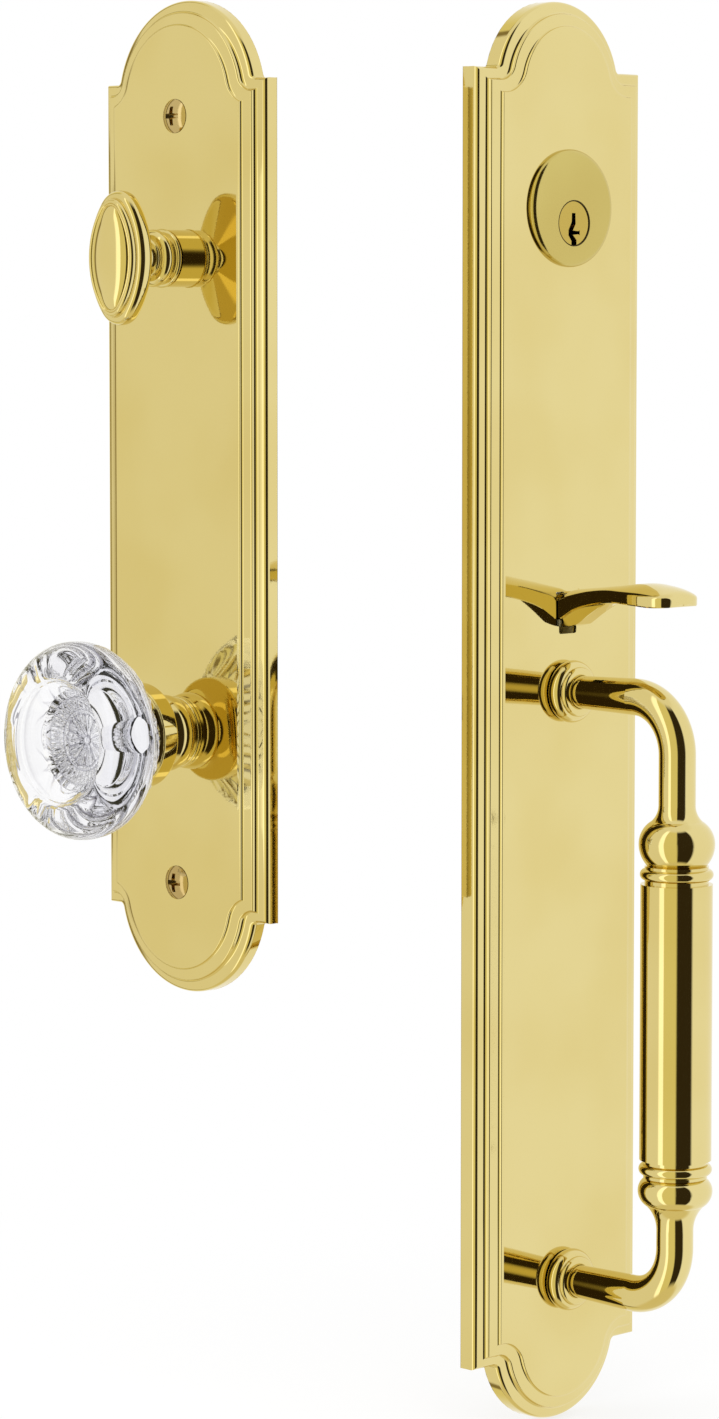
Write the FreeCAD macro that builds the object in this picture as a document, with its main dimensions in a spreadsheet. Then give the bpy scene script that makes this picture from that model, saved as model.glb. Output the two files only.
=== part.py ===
"""Entry door handleset: a keyed outside plate with thumb latch and grip, and its inside plate.

Every piece is modelled in the frame of its own plate: x across, y up, z out from the door,
with the door's surface at z = 0. The outside plate faces -Y and carries the model's origin on
its lock axis. The inside plate stands beside it and faces -X.
"""

import FreeCAD, Part
import Sketcher
import math
import os
import re

SIZES = {
    # Plates
    "plate_width": 69.85,
    "plate_wall": 2.6,
    "rim_width": 10.2,
    "cavity_corner": 3.5,
    "ledge_fillet": 1.6,
    "outside_rise": 9.65,
    "outside_top_shoulder": 40.5,
    "shoulder_below_grip": 23.0,
    "outside_arch_radius": 26.0,
    "outside_arch_drop": 6.0,
    "inside_rise": 8.5,
    "inside_top_shoulder": 37.2,
    "inside_bottom_shoulder": 208.8,
    "inside_arch_radius": 30.0,
    "inside_arch_drop": 6.4,
    "inside_offset_left": 75.0,
    "inside_offset_back": 70.5,
    # Moulding round each plate, from the flat face outwards
    "face_cove_width": 1.2,
    "face_cove_drop": 2.35,
    "small_bead_width": 1.4,
    "small_bead_drop": 0.65,
    "step_width": 0.2,
    "step_drop": 0.55,
    "main_cove_width": 1.6,
    "main_cove_drop": 2.15,
    "groove_width": 0.6,
    "groove_lift": 0.4,
    "edge_bead_width": 1.95,
    "edge_bead_drop": 0.95,
    "edge_slope_width": 1.45,
    "edge_slope_drop": 1.75,
    "edge_bead_round": 1.35,
    "main_cove_round": 2.1,
    "small_bead_round": 0.95,
    "face_cove_round": 2.2,
    "moulding_margin": 0.8,
    # Clearances
    "running_fit": 0.05,
    "slip_fit": 0.1,
    "face_gap": 0.2,
    "free_gap": 0.35,
    # Places along the plates, below the lock axis
    "latch_below_lock": 139.7,
    "upper_post_below_lock": 142.3,
    "grip_spacing": 176.2,
    "thumb_pivot_below_lock": 117.0,
    "turn_below_lock": 14.7,
    "upper_screw_above_lock": 26.9,
    "lower_screw_below_lock": 199.3,
    "middle_bolt_below_lock": 186.0,
    "end_bolt_inset": 4.0,
    # Lock cylinder
    "collar_radius": 17.1,
    "collar_height": 2.0,
    "collar_bevel": 1.8,
    "cylinder_radius": 14.8,
    "cylinder_thread_radius": 15.2,
    "cylinder_depth": 18.0,
    "nut_flats": 37.0,
    "nut_thickness": 3.0,
    "plug_radius": 6.4,
    "plug_drop": 4.4,
    "plug_recess": 0.15,
    "plug_tail": 2.4,
    "keyway_width": 1.9,
    "keyway_sway": 1.25,
    "keyway_top": 3.0,
    "keyway_branch": 2.6,
    "chamber_radius": 1.4,
    "chamber_pitch": 3.9,
    "first_chamber": 5.4,
    "driver_length": 4.6,
    "cover_thickness": 0.9,
    "plug_clip_width": 1.1,
    "plug_clip_thickness": 0.8,
    "tailpiece_width": 7.0,
    "tailpiece_thickness": 1.6,
    "tailpiece_length": 10.0,
    # Thumb latch
    "thumb_pivot_height": 4.6,
    "thumb_pin_radius": 1.5,
    "thumb_root_width": 9.4,
    "thumb_root_top": 3.9,
    "thumb_crown": 5.7,
    "thumb_reach": 46.5,
    "thumb_tip_top": 4.6,
    "thumb_tip_thickness": 2.2,
    "thumb_leaf_width": 18.6,
    "thumb_rib_width": 5.0,
    "thumb_rib_drop": 8.4,
    "thumb_rib_foot": 4.6,
    "thumb_rib_reach": 18.0,
    "tail_length": 17.0,
    "tail_width": 6.0,
    "tail_drop": 0.5,
    "tail_height": 3.8,
    "thumb_edge_round": 0.9,
    "thumb_slot_below": 11.3,
    "lug_width": 3.6,
    "lug_height": 4.75,
    "lug_length": 8.0,
    # Latch mechanism behind the outside plate
    "bracket_thickness": 1.6,
    "bracket_seat": 2.0,
    "bracket_width": 42.0,
    "bracket_above": 38.0,
    "bracket_below": 24.0,
    "bracket_ear": 8.0,
    "bracket_boss_radius": 3.4,
    "bracket_screw_across": 32.0,
    "bracket_screw_above": 25.0,
    "bracket_screw_below": 20.0,
    "bracket_screw_radius": 1.5,
    "lifter_thickness": 1.5,
    "lifter_left": 8.0,
    "lifter_right": 12.8,
    "lifter_below": 10.6,
    "lifter_travel": 5.3,
    "tab_reach": 13.0,
    "tab_width": 10.0,
    "hub_journal_radius": 6.0,
    "hub_neck_radius": 4.2,
    "hub_nose": 1.2,
    "hub_boss_radius": 7.2,
    "hub_boss_length": 5.6,
    "cam_thickness": 1.6,
    "cam_pin_offset": 9.5,
    "cam_pin_radius": 1.5,
    "cam_arm_radius": 3.2,
    "clip_thickness": 0.7,
    "clip_width": 2.6,
    "clip_groove_depth": 0.8,
    "spindle_square": 7.9,
    "latch_spindle_length": 26.0,
    "spring_wire": 0.7,
    "spring_radius": 2.4,
    "spring_pitch": 2.3,
    "spring_back": 4.6,
    # Grip
    "grip_reach": 43.6,
    "post_radius": 4.7,
    "neck_radius": 5.4,
    "elbow_radius": 16.0,
    "upper_bulb_radius": 11.1,
    "upper_bulb_middle": 6.4,
    "upper_bulb_length": 17.6,
    "upper_waist": 13.0,
    "upper_waist_radius": 7.4,
    "upper_arm_drop": 48.1,
    "lower_bulb_radius": 10.9,
    "lower_bulb_middle": 3.9,
    "lower_bulb_length": 15.6,
    "lower_waist": 8.4,
    "lower_waist_radius": 8.4,
    "lower_arm_rise": 36.9,
    "bulb_root_radius": 8.6,
    "barrel_radius": 10.5,
    "barrel_wall": 2.6,
    "barrel_reveal": 0.35,
    "bead_radius": 10.7,
    "bead_length": 4.9,
    "bead_lip": 0.8,
    "bead_lip_radius": 9.3,
    "collar_bead_radius": 9.2,
    "collar_bead_length": 3.2,
    "collar_bead_swell": 1.5,
    "collar_ring_radius": 7.0,
    "collar_ring_length": 1.6,
    "tie_rod_radius": 3.0,
    "tie_rod_bite": 10.0,
    "post_screw_radius": 3.0,
    "post_screw_bite": 12.0,
    "post_screw_head_radius": 5.2,
    "post_screw_head_height": 3.0,
    "bolt_tap_radius": 2.1,
    "bolt_post_radius": 5.0,
    "bolt_pocket_width": 13.0,
    "bolt_pocket_end": 5.5,
    # Inside screws
    "screw_head_radius": 4.95,
    "screw_head_dome": 1.5,
    "screw_countersink": 2.6,
    "screw_shank_radius": 2.4,
    "screw_neck_radius": 2.1,
    "screw_boss_radius": 5.2,
    "screw_length": 25.4,
    "screw_point": 5.0,
    "recess_width": 1.1,
    "recess_span": 5.2,
    "recess_depth": 1.9,
    # Turn
    "turn_barrel_radius": 8.4,
    "turn_barrel_length": 4.4,
    "turn_bush_radius": 6.6,
    "turn_journal_radius": 4.0,
    "turn_ring_radius": 8.7,
    "turn_ring_length": 1.5,
    "turn_bead_length": 5.6,
    "turn_neck_radius": 4.4,
    "turn_neck_length": 2.4,
    "turn_flare_length": 4.9,
    "turn_oval_height": 39.0,
    "turn_oval_width": 24.4,
    "turn_rim_thickness": 5.0,
    "turn_rim_round": 1.1,
    "turn_end_radius": 8.0,
    "turn_step_width": 2.2,
    "turn_step_height": 1.5,
    "turn_dome_height": 2.3,
    "turn_clip_thickness": 0.8,
    "turn_clip_radius": 5.9,
    "turn_nut_flats": 19.0,
    "turn_nut_thickness": 2.2,
    "turn_washer_thickness": 0.6,
    "turn_socket_thickness": 2.2,
    "turn_tail": 4.0,
    # Knob
    "knob_radius": 28.9,
    "knob_rim_round": 8.2,
    "knob_rim_out": 38.3,
    "knob_lip_radius": 18.3,
    "knob_well_radius": 14.5,
    "knob_well_out": 39.5,
    "knob_dish_out": 35.0,
    "knob_shoulder_radius": 25.6,
    "knob_shoulder_out": 29.2,
    "glass_root_radius": 13.6,
    "glass_root_out": 19.0,
    "ferrule_radius": 15.4,
    "ferrule_out": 12.6,
    "ferrule_depth": 5.8,
    "ferrule_floor": 2.0,
    "shank_neck_radius": 8.6,
    "shank_neck_out": 9.6,
    "shank_bulb_radius": 11.4,
    "shank_bulb_out": 5.2,
    "shank_foot_radius": 10.4,
    "shank_journal_radius": 7.6,
    "knob_bush_radius": 9.6,
    "knob_bush_lip": 10.6,
    "knob_bush_lip_height": 0.8,
    "glass_bolt_radius": 3.0,
    "glass_bolt_bite": 9.0,
    "glass_bolt_head": 3.8,
    "glass_bolt_head_height": 2.6,
    "knob_spindle_length": 45.5,
    "knob_spindle_behind": 28.0,
    "set_screw_radius": 1.9,
    "cassette_radius": 19.0,
    "cassette_wall": 1.2,
    "cassette_depth": 4.6,
    "cassette_hub_radius": 8.0,
    "cassette_ear_reach": 24.0,
    "cassette_screw_radius": 1.5,
    "coil_strip": 0.8,
    "coil_pitch": 2.6,
    "coil_height": 2.4,
}


def expression(text):
    """Return text with each size written as the sheet's own cell."""
    def in_sheet(word):
        name = word.group()
        return "sizes." + name if name in SIZES else name
    return re.sub(r"[a-z_]+", in_sheet, text)


def value(text):
    """Work out an expression of sizes as a number."""
    return float(sheet.evalExpression(expression(str(text))))


def bind(feature, name, text):
    """Bind a property of a feature to an expression of sizes."""
    feature.setExpression(name, expression(str(text)))


doc = FreeCAD.newDocument("handleset")
sheet = doc.addObject("Spreadsheet::Sheet", "sizes")
for row, (name, size) in enumerate(SIZES.items(), start=1):
    sheet.set(f"A{row}", name)
    sheet.set(f"B{row}", str(size))
    sheet.setAlias(f"B{row}", name)
doc.recompute()

ORIGIN = FreeCAD.Vector(0, 0, 0)
UPRIGHT = FreeCAD.Rotation(FreeCAD.Vector(1, 0, 0), 90)
SIDE_TURN = {
    "outside": UPRIGHT,
    "inside": FreeCAD.Rotation(FreeCAD.Vector(0, 0, 1), -90).multiply(UPRIGHT),
}
AXIS_TURN = {
    "out": FreeCAD.Rotation(),
    "up": FreeCAD.Rotation(FreeCAD.Vector(1, 0, 0), -90),
    "across": FreeCAD.Rotation(FreeCAD.Vector(0, 1, 0), 90),
}

pieces = []


def place(piece, side, x="0", y="0", z="0", axis="out"):
    """Put a piece in the frame of the outside or the inside plate."""
    turn = SIDE_TURN[side].multiply(AXIS_TURN[axis])
    piece.Placement = FreeCAD.Placement(ORIGIN, turn)
    if side == "outside":
        base = (x, f"-({z})", y)
    else:
        base = (f"-(inside_offset_left + {z})", f"inside_offset_back - ({x})", y)
    for name, text in zip("xyz", base):
        bind(piece, f"Placement.Base.{name}", text)


def keep(piece, label):
    """Give a finished piece its label and put it on the list to export."""
    piece.Label = label
    pieces.append(piece)
    return piece


def new_body(label, side, x="0", y="0", z="0", axis="out"):
    """Start an exported PartDesign body."""
    body = doc.addObject("PartDesign::Body", label)
    place(body, side, x, y, z, axis)
    return keep(body, label)


def sketch_on(body, plane, lift="0", shift="0", slide="0"):
    """Start a sketch on an origin plane, lifted off it, shifted up its own y and slid along its x."""
    origin_plane = [item for item in body.Origin.OriginFeatures if item.Role == plane][0]
    sketch = body.newObject("Sketcher::SketchObject", "Sketch")
    sketch.AttachmentSupport = [(origin_plane, "")]
    sketch.MapMode = "FlatFace"
    bind(sketch, "AttachmentOffset.Base.z", lift)
    bind(sketch, "AttachmentOffset.Base.y", shift)
    bind(sketch, "AttachmentOffset.Base.x", slide)
    return sketch


def pin_point(sketch, edge, end, axis, text):
    """Fix one coordinate of an edge's end point to an expression of sizes."""
    if text == "0":
        datum_line = -2 if axis == "X" else -1
        sketch.addConstraint(Sketcher.Constraint("PointOnObject", edge, end, datum_line))
        return
    constraint = Sketcher.Constraint("Distance" + axis, -1, 1, edge, end, value(text))
    name = f"{axis.lower()}_edge_{edge}_{end}"
    sketch.renameConstraint(sketch.addConstraint(constraint), name)
    bind(sketch, f"Constraints.{name}", text)


def arc_between(start, end, radius, turn):
    """Make the short arc from start to end; turn is 1 anticlockwise and -1 clockwise."""
    chord = FreeCAD.Vector(end[0] - start[0], end[1] - start[1], 0)
    height = math.sqrt(max(radius ** 2 - (chord.Length / 2) ** 2, 0))
    side = FreeCAD.Vector(-chord.y, chord.x, 0).normalize() * (turn * height)
    centre = FreeCAD.Vector(start[0], start[1], 0) + chord / 2 + side
    first, last = (start, end) if turn > 0 else (end, start)
    angles = [math.atan2(point[1] - centre.y, point[0] - centre.x) for point in (first, last)]
    if angles[1] < angles[0]:
        angles[1] += 2 * math.pi
    circle = Part.Circle(centre, FreeCAD.Vector(0, 0, 1), radius)
    return Part.ArcOfCircle(circle, angles[0], angles[1])


def draw(sketch, outline, closed=True):
    """Draw an outline of corners (x, y); an arc up to its corner is (x, y, radius, turn)."""
    corners = [(value(corner[0]), value(corner[1])) for corner in outline]
    count = len(outline)
    edges = []
    for index in range(count if closed else count - 1):
        target = outline[(index + 1) % count]
        start, end = corners[index], corners[(index + 1) % count]
        if len(target) == 4:
            edge = sketch.addGeometry(arc_between(start, end, value(target[2]), target[3]))
            ends = (1, 2) if target[3] > 0 else (2, 1)
            rule = Sketcher.Constraint("Radius", edge, value(target[2]))
            name = f"radius_edge_{edge}"
            sketch.renameConstraint(sketch.addConstraint(rule), name)
            bind(sketch, f"Constraints.{name}", target[2])
        else:
            line = Part.LineSegment(FreeCAD.Vector(*start, 0), FreeCAD.Vector(*end, 0))
            edge = sketch.addGeometry(line)
            ends = (1, 2)
        edges.append((edge, ends))
    for index, (edge, ends) in enumerate(edges):
        pin_point(sketch, edge, ends[0], "X", outline[index][0])
        pin_point(sketch, edge, ends[0], "Y", outline[index][1])
        if closed or index + 1 < len(edges):
            next_edge, next_ends = edges[(index + 1) % len(edges)]
            joint = Sketcher.Constraint("Coincident", edge, ends[1], next_edge, next_ends[0])
            sketch.addConstraint(joint)
    if not closed:
        edge, ends = edges[-1]
        pin_point(sketch, edge, ends[1], "X", outline[-1][0])
        pin_point(sketch, edge, ends[1], "Y", outline[-1][1])


def circle(sketch, x, y, radius):
    """Draw a circle about (x, y)."""
    centre = FreeCAD.Vector(value(x), value(y), 0)
    shape = Part.Circle(centre, FreeCAD.Vector(0, 0, 1), value(radius))
    edge = sketch.addGeometry(shape)
    pin_point(sketch, edge, 3, "X", x)
    pin_point(sketch, edge, 3, "Y", y)
    name = f"radius_edge_{edge}"
    rule = Sketcher.Constraint("Radius", edge, value(radius))
    sketch.renameConstraint(sketch.addConstraint(rule), name)
    bind(sketch, f"Constraints.{name}", radius)


def box_outline(left, low, right, high):
    """Return the four corners of an upright rectangle."""
    return [(left, low), (right, low), (right, high), (left, high)]


def round_box_outline(left, low, right, high, radius):
    """Return a rectangle with rounded corners, run anticlockwise."""
    return [
        (f"{left} + {radius}", low, radius, 1),
        (f"{right} - {radius}", low),
        (right, f"{low} + {radius}", radius, 1),
        (right, f"{high} - {radius}"),
        (f"{right} - {radius}", high, radius, 1),
        (f"{left} + {radius}", high),
        (left, f"{high} - {radius}", radius, 1),
        (left, f"{low} + {radius}"),
    ]


def extrude(body, sketch, length, kind, reverse=False, middle=False):
    """Pad or pocket a sketch by a length."""
    feature = body.newObject("PartDesign::" + kind, kind)
    feature.Profile = sketch
    bind(feature, "Length", length)
    feature.Reversed = reverse
    feature.Midplane = middle
    return feature


def pad(body, sketch, length, reverse=False, middle=False):
    """Add material along the sketch's normal, or against it when reversed."""
    return extrude(body, sketch, length, "Pad", reverse, middle)


def pocket(body, sketch, length, reverse=False, middle=False):
    """Cut against the sketch's normal, or along it when reversed."""
    return extrude(body, sketch, length, "Pocket", reverse, middle)


def revolve(body, sketch, axis="V_Axis", angle=360, reverse=False):
    """Turn a sketch about one of its own axes."""
    feature = body.newObject("PartDesign::Revolution", "Revolution")
    feature.Profile = sketch
    feature.ReferenceAxis = (sketch, [axis])
    feature.Angle = angle
    feature.Reversed = reverse
    return feature


def groove(body, sketch, angle, reverse=False, middle=False):
    """Cut a sketch round its own upright axis by an angle."""
    feature = body.newObject("PartDesign::Groove", "Groove")
    feature.Profile = sketch
    feature.ReferenceAxis = (sketch, ["V_Axis"])
    bind(feature, "Angle", angle)
    feature.Reversed = reverse
    feature.Midplane = middle
    return feature


def turned(label, side, outline, x="0", y="0", z="0", axis="out"):
    """Make a turned body from an outline of (radius, height) about its own axis."""
    body = new_body(label, side, x, y, z, axis)
    sketch = sketch_on(body, "XZ_Plane")
    draw(sketch, outline)
    revolve(body, sketch)
    return body


def tube(label, side, outer, inner, low, high, x="0", y="0", z="0", axis="out"):
    """Make a plain ring or sleeve."""
    outline = [(inner, low), (outer, low), (outer, high), (inner, high)]
    return turned(label, side, outline, x, y, z, axis)


def group(label, members):
    """Join identical loose pieces into one node of separate solids."""
    for number, member in enumerate(members, start=1):
        pieces.remove(member)
        member.Label = f"{label}_{number}"
    compound = doc.addObject("Part::Compound", label)
    compound.Links = members
    return keep(compound, label)


# Plates

MOULDING_WIDTH = (
    "(face_cove_width + small_bead_width + step_width + main_cove_width"
    " + groove_width + edge_bead_width + edge_slope_width)"
)
OUTSIDE_CEILING = "(outside_rise - plate_wall)"
INSIDE_CEILING = "(inside_rise - plate_wall)"
LATCH_Y = "-latch_below_lock"
UPPER_POST_Y = "-upper_post_below_lock"
LOWER_POST_Y = "-(upper_post_below_lock + grip_spacing)"
THUMB_Y = "-thumb_pivot_below_lock"
TURN_Y = "-turn_below_lock"
KNOB_Y = "-(turn_below_lock + latch_below_lock)"


def plate_outline(top, bottom, arch_radius, arch_drop):
    """Outline of a shouldered plate with an arch at each end, starting level with the lock."""
    side = "plate_width / 2"
    reach = f"({arch_radius} + ledge_fillet)"
    lift = f"({arch_drop} + ledge_fillet)"
    fillet_x = f"sqrt({reach} ^ 2 - {lift} ^ 2)"
    touch_x = f"{fillet_x} * {arch_radius} / {reach}"
    touch_y = f"({lift} * {arch_radius} / {reach} - {arch_drop})"
    return [
        (f"-{side}", "0"),
        (f"-{side}", top),
        (f"-{fillet_x}", top),
        (f"-{touch_x}", f"{top} + {touch_y}", "ledge_fillet", 1),
        (touch_x, f"{top} + {touch_y}", arch_radius, -1),
        (fillet_x, top, "ledge_fillet", 1),
        (side, top),
        (side, f"-{bottom}"),
        (fillet_x, f"-{bottom}"),
        (touch_x, f"-({bottom} + {touch_y})", "ledge_fillet", 1),
        (f"-{touch_x}", f"-({bottom} + {touch_y})", arch_radius, -1),
        (f"-{fillet_x}", f"-{bottom}", "ledge_fillet", 1),
        (f"-{side}", f"-{bottom}"),
    ]


def moulding_section(rise, edge, way):
    """Section cut away inwards from an edge: slope, bead, groove, cove, bead and cove; way is 1 or -1."""
    members = [
        ("edge_slope_width", "edge_slope_drop", None),
        ("edge_bead_width", "edge_bead_drop", ("edge_bead_round", -way)),
        ("0", "-groove_lift", None),
        ("groove_width", "0", None),
        ("main_cove_width", "main_cove_drop", ("main_cove_round", way)),
        ("step_width", "step_drop", None),
        ("small_bead_width", "small_bead_drop", ("small_bead_round", -way)),
        ("face_cove_width", "face_cove_drop", ("face_cove_round", way)),
    ]
    drops = " + ".join(drop for _, drop, _ in members)
    inward = "0"
    level = f"{rise} - ({drops})"
    outside = f"{edge} - {way} * moulding_margin"
    outline = [(outside, f"{rise} + moulding_margin"), (outside, level), (edge, level)]
    for width, drop, arc in members:
        inward = f"{inward} + {width}"
        level = f"{level} + {drop}"
        outline.append((f"{edge} + {way} * ({inward})", level) + (arc or ()))
    outline.append((f"{edge} + {way} * ({inward})", f"{rise} + moulding_margin"))
    return outline


def plate(label, side, rise, top, bottom, arch_radius, arch_drop):
    """A forged plate: moulded round its edge and hollowed from behind."""
    body = new_body(label, side)
    outline = sketch_on(body, "XY_Plane")
    draw(outline, plate_outline(top, bottom, arch_radius, arch_drop))
    pad(body, outline, rise)
    sides = sketch_on(body, "XZ_Plane")
    draw(sides, moulding_section(rise, "-plate_width / 2", 1))
    draw(sides, moulding_section(rise, "plate_width / 2", -1))
    pocket(body, sides, f"4 * {bottom}", middle=True)
    reach = f"({arch_radius} + ledge_fillet)"
    lift = f"({arch_drop} + ledge_fillet)"
    fillet_x = f"sqrt({reach} ^ 2 - {lift} ^ 2)"
    for sign in (1, -1):
        ledges = sketch_on(body, "YZ_Plane", f"{sign} * {fillet_x}")
        draw(ledges, moulding_section(rise, top, -1))
        draw(ledges, moulding_section(rise, f"-{bottom}", 1))
        pocket(body, ledges, f"plate_width / 2 - {fillet_x} + moulding_margin", reverse=sign > 0)
    for way, shoulder in ((1, top), (-1, bottom)):
        arch = sketch_on(body, "YZ_Plane", slide=f"{way} * ({shoulder} - {arch_drop})")
        draw(arch, moulding_section(rise, f"{way} * {arch_radius}", -way))
        groove(body, arch, f"2 * acos({lift} / {reach})", middle=True)
        for sign in (1, -1):
            hollow = sketch_on(
                body, "YZ_Plane", f"{sign} * {fillet_x}", slide=f"{way} * ({shoulder} + ledge_fillet)",
            )
            draw(hollow, moulding_section(rise, f"-{way} * ledge_fillet", -way))
            groove(body, hollow, f"acos({lift} / {reach})", reverse=sign == way)
    cavity = sketch_on(body, "XY_Plane")
    half = "(plate_width / 2 - rim_width)"
    low, high = f"-({bottom} - rim_width)", f"({top} - rim_width)"
    draw(cavity, round_box_outline(f"-{half}", low, half, high, "cavity_corner"))
    pocket(body, cavity, f"{rise} - plate_wall", reverse=True)
    return body


def bosses(body, ceiling, height, places, radius):
    """Round bosses that stand down from the ceiling of the plate's hollow."""
    sketch = sketch_on(body, "XY_Plane", ceiling)
    for x, y in places:
        circle(sketch, x, y, radius)
    return pad(body, sketch, height, reverse=True)


def holes(body, places, radius, depth, base="0"):
    """Round holes drilled outwards from a level."""
    sketch = sketch_on(body, "XY_Plane", base)
    for x, y in places:
        circle(sketch, x, y, radius)
    return pocket(body, sketch, depth, reverse=True)


# Outside plate

OUTSIDE_BOTTOM = "(upper_post_below_lock + grip_spacing + shoulder_below_grip)"
outside_plate = plate(
    "exterior_plate", "outside", "outside_rise", "outside_top_shoulder",
    OUTSIDE_BOTTOM, "outside_arch_radius", "outside_arch_drop",
)
SLOT_HALF = "(thumb_root_width / 2 + free_gap)"
SCREW_PLACES = [
    (x, y)
    for x in ("-bracket_screw_across / 2", "bracket_screw_across / 2")
    for y in (f"{LATCH_Y} + bracket_screw_above", f"{LATCH_Y} - bracket_screw_below")
]
BOLT_PLACES = [
    ("0", "outside_top_shoulder + end_bolt_inset"),
    ("0", "-middle_bolt_below_lock"),
    ("0", f"-({OUTSIDE_BOTTOM} + end_bolt_inset)"),
]
bolt_pocket = sketch_on(outside_plate, "XY_Plane")
draw(bolt_pocket, round_box_outline(
    "(-bolt_pocket_width / 2)", f"(-({OUTSIDE_BOTTOM} + end_bolt_inset + bolt_pocket_end))",
    "(bolt_pocket_width / 2)", "(outside_top_shoulder + end_bolt_inset + bolt_pocket_end)", "cavity_corner",
))
pocket(outside_plate, bolt_pocket, OUTSIDE_CEILING, reverse=True)
BOSS_HEIGHT = f"({OUTSIDE_CEILING} - bracket_seat)"
bosses(outside_plate, OUTSIDE_CEILING, BOSS_HEIGHT, SCREW_PLACES, "bracket_boss_radius")
lugs = sketch_on(outside_plate, "XY_Plane", OUTSIDE_CEILING)
for left, right in (
    (f"-({SLOT_HALF} + lug_width)", f"-{SLOT_HALF}"),
    (SLOT_HALF, f"({SLOT_HALF} + lug_width)"),
):
    draw(lugs, box_outline(left, f"{THUMB_Y} - lug_length / 2", right, f"{THUMB_Y} + lug_length / 2"))
pad(outside_plate, lugs, "lug_height", reverse=True)
pin_hole = sketch_on(outside_plate, "YZ_Plane")
circle(pin_hole, THUMB_Y, "thumb_pivot_height", "thumb_pin_radius + running_fit")
pocket(outside_plate, pin_hole, f"2 * ({SLOT_HALF} + lug_width) + 1", middle=True)
slot = sketch_on(outside_plate, "XY_Plane")
slot_low, slot_high = f"({THUMB_Y} - thumb_slot_below)", f"({THUMB_Y} + thumb_root_top + free_gap)"
draw(slot, round_box_outline(f"-{SLOT_HALF}", slot_low, SLOT_HALF, slot_high, "0.8"))
pocket(outside_plate, slot, "outside_rise + 1", reverse=True)
holes(outside_plate, [("0", "0")], "cylinder_thread_radius + slip_fit", "outside_rise + 1")
POST_PLACES = [("0", UPPER_POST_Y), ("0", LOWER_POST_Y)]
holes(outside_plate, POST_PLACES, "post_screw_radius + slip_fit", "outside_rise + 1")
holes(outside_plate, SCREW_PLACES, "bracket_screw_radius - slip_fit", "4.5", "bracket_seat")
bolt_posts = []
for number, (x, y) in enumerate(BOLT_PLACES):
    bolt_posts.append(tube(
        f"bolt_post_{number}", "outside", "bolt_post_radius", "bolt_tap_radius", "0", OUTSIDE_CEILING, x=x, y=y,
    ))
group("bolt_posts", bolt_posts)


# Lock cylinder

CYLINDER_FRONT = "(outside_rise + collar_height)"
SHEAR_LINE = "(plug_radius - plug_drop)"
CHAMBERS = [f"({CYLINDER_FRONT} - first_chamber - {number} * chamber_pitch)" for number in range(5)]
COVER_SEAT = "(cylinder_radius - cover_thickness - 0.5)"

housing = turned("cylinder_housing", "outside", [
    ("0", "-cylinder_depth"),
    ("cylinder_radius", "-cylinder_depth"),
    ("cylinder_radius", "0"),
    ("cylinder_thread_radius", "0"),
    ("cylinder_thread_radius", "outside_rise"),
    ("collar_radius", "outside_rise"),
    ("collar_radius", "outside_rise + 0.3"),
    ("collar_radius - collar_bevel", CYLINDER_FRONT),
    ("0", CYLINDER_FRONT),
])
plug_bore = sketch_on(housing, "XY_Plane", CYLINDER_FRONT)
circle(plug_bore, "0", "-plug_drop", "plug_radius + running_fit")
pocket(housing, plug_bore, "cylinder_depth + outside_rise + collar_height + 1")
stacks = sketch_on(housing, "XZ_Plane", "-cylinder_radius")
for height in CHAMBERS:
    circle(stacks, "0", height, "chamber_radius")
pocket(housing, stacks, "cylinder_radius + plug_drop", reverse=True)
cover_slot = sketch_on(housing, "XZ_Plane", "-cylinder_radius")
cover_low, cover_high = f"({CHAMBERS[4]} - 2.2)", f"({CHAMBERS[0]} + 2.2)"
draw(cover_slot, box_outline("-chamber_radius - 0.5", cover_low, "chamber_radius + 0.5", cover_high))
pocket(housing, cover_slot, "cover_thickness + 0.5", reverse=True)

cover = new_body("spring_cover", "outside")
cover_plan = sketch_on(cover, "XZ_Plane", f"-({COVER_SEAT} + cover_thickness)")
draw(cover_plan, box_outline(
    "-chamber_radius - 0.4", f"{cover_low} + 0.1", "chamber_radius + 0.4", f"{cover_high} - 0.1",
))
pad(cover, cover_plan, "cover_thickness")

PLUG_BACK = "(cylinder_depth + plug_tail)"
plug = turned("cylinder_plug", "outside", [
    ("0", f"-{PLUG_BACK}"),
    ("plug_radius", f"-{PLUG_BACK}"),
    ("plug_radius", "-(cylinder_depth + face_gap + plug_clip_thickness + running_fit)"),
    ("plug_radius - clip_groove_depth", "-(cylinder_depth + face_gap + plug_clip_thickness + running_fit)"),
    ("plug_radius - clip_groove_depth", "-(cylinder_depth + face_gap)"),
    ("plug_radius", "-(cylinder_depth + face_gap)"),
    ("plug_radius", f"{CYLINDER_FRONT} - plug_recess"),
    ("0", f"{CYLINDER_FRONT} - plug_recess"),
], y="-plug_drop")
keyway = sketch_on(plug, "XY_Plane", CYLINDER_FRONT)
WARD = "keyway_width / 2"
draw(keyway, [
    (f"-{WARD} + 0.2", "keyway_top"),
    (f"-{WARD} + 0.1", "0.4"),
    (f"-{WARD} - keyway_sway", "-2"),
    (f"-{WARD} - keyway_sway", "-3.6"),
    (f"-{WARD}", "-5.2"),
    (f"-{WARD}", "-(plug_radius + 0.5)"),
    (f"{WARD} + 0.3", "-(plug_radius + 0.5)"),
    (f"{WARD} + 0.3", "-4.9"),
    (f"{WARD} - keyway_sway", "-3.4"),
    ("keyway_branch - 0.6", "-3.2"),
    ("keyway_branch", "-3.5"),
    ("keyway_branch", "-2"),
    ("keyway_branch - 0.6", "-2.3"),
    (f"{WARD} - keyway_sway", "-2.1"),
    (f"{WARD} - 0.1", "-0.2"),
    (f"{WARD} - 0.2", "keyway_top"),
])
pocket(plug, keyway, f"{CYLINDER_FRONT} + {PLUG_BACK} + 1")
plug_chambers = sketch_on(plug, "XZ_Plane", "-plug_radius")
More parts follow.
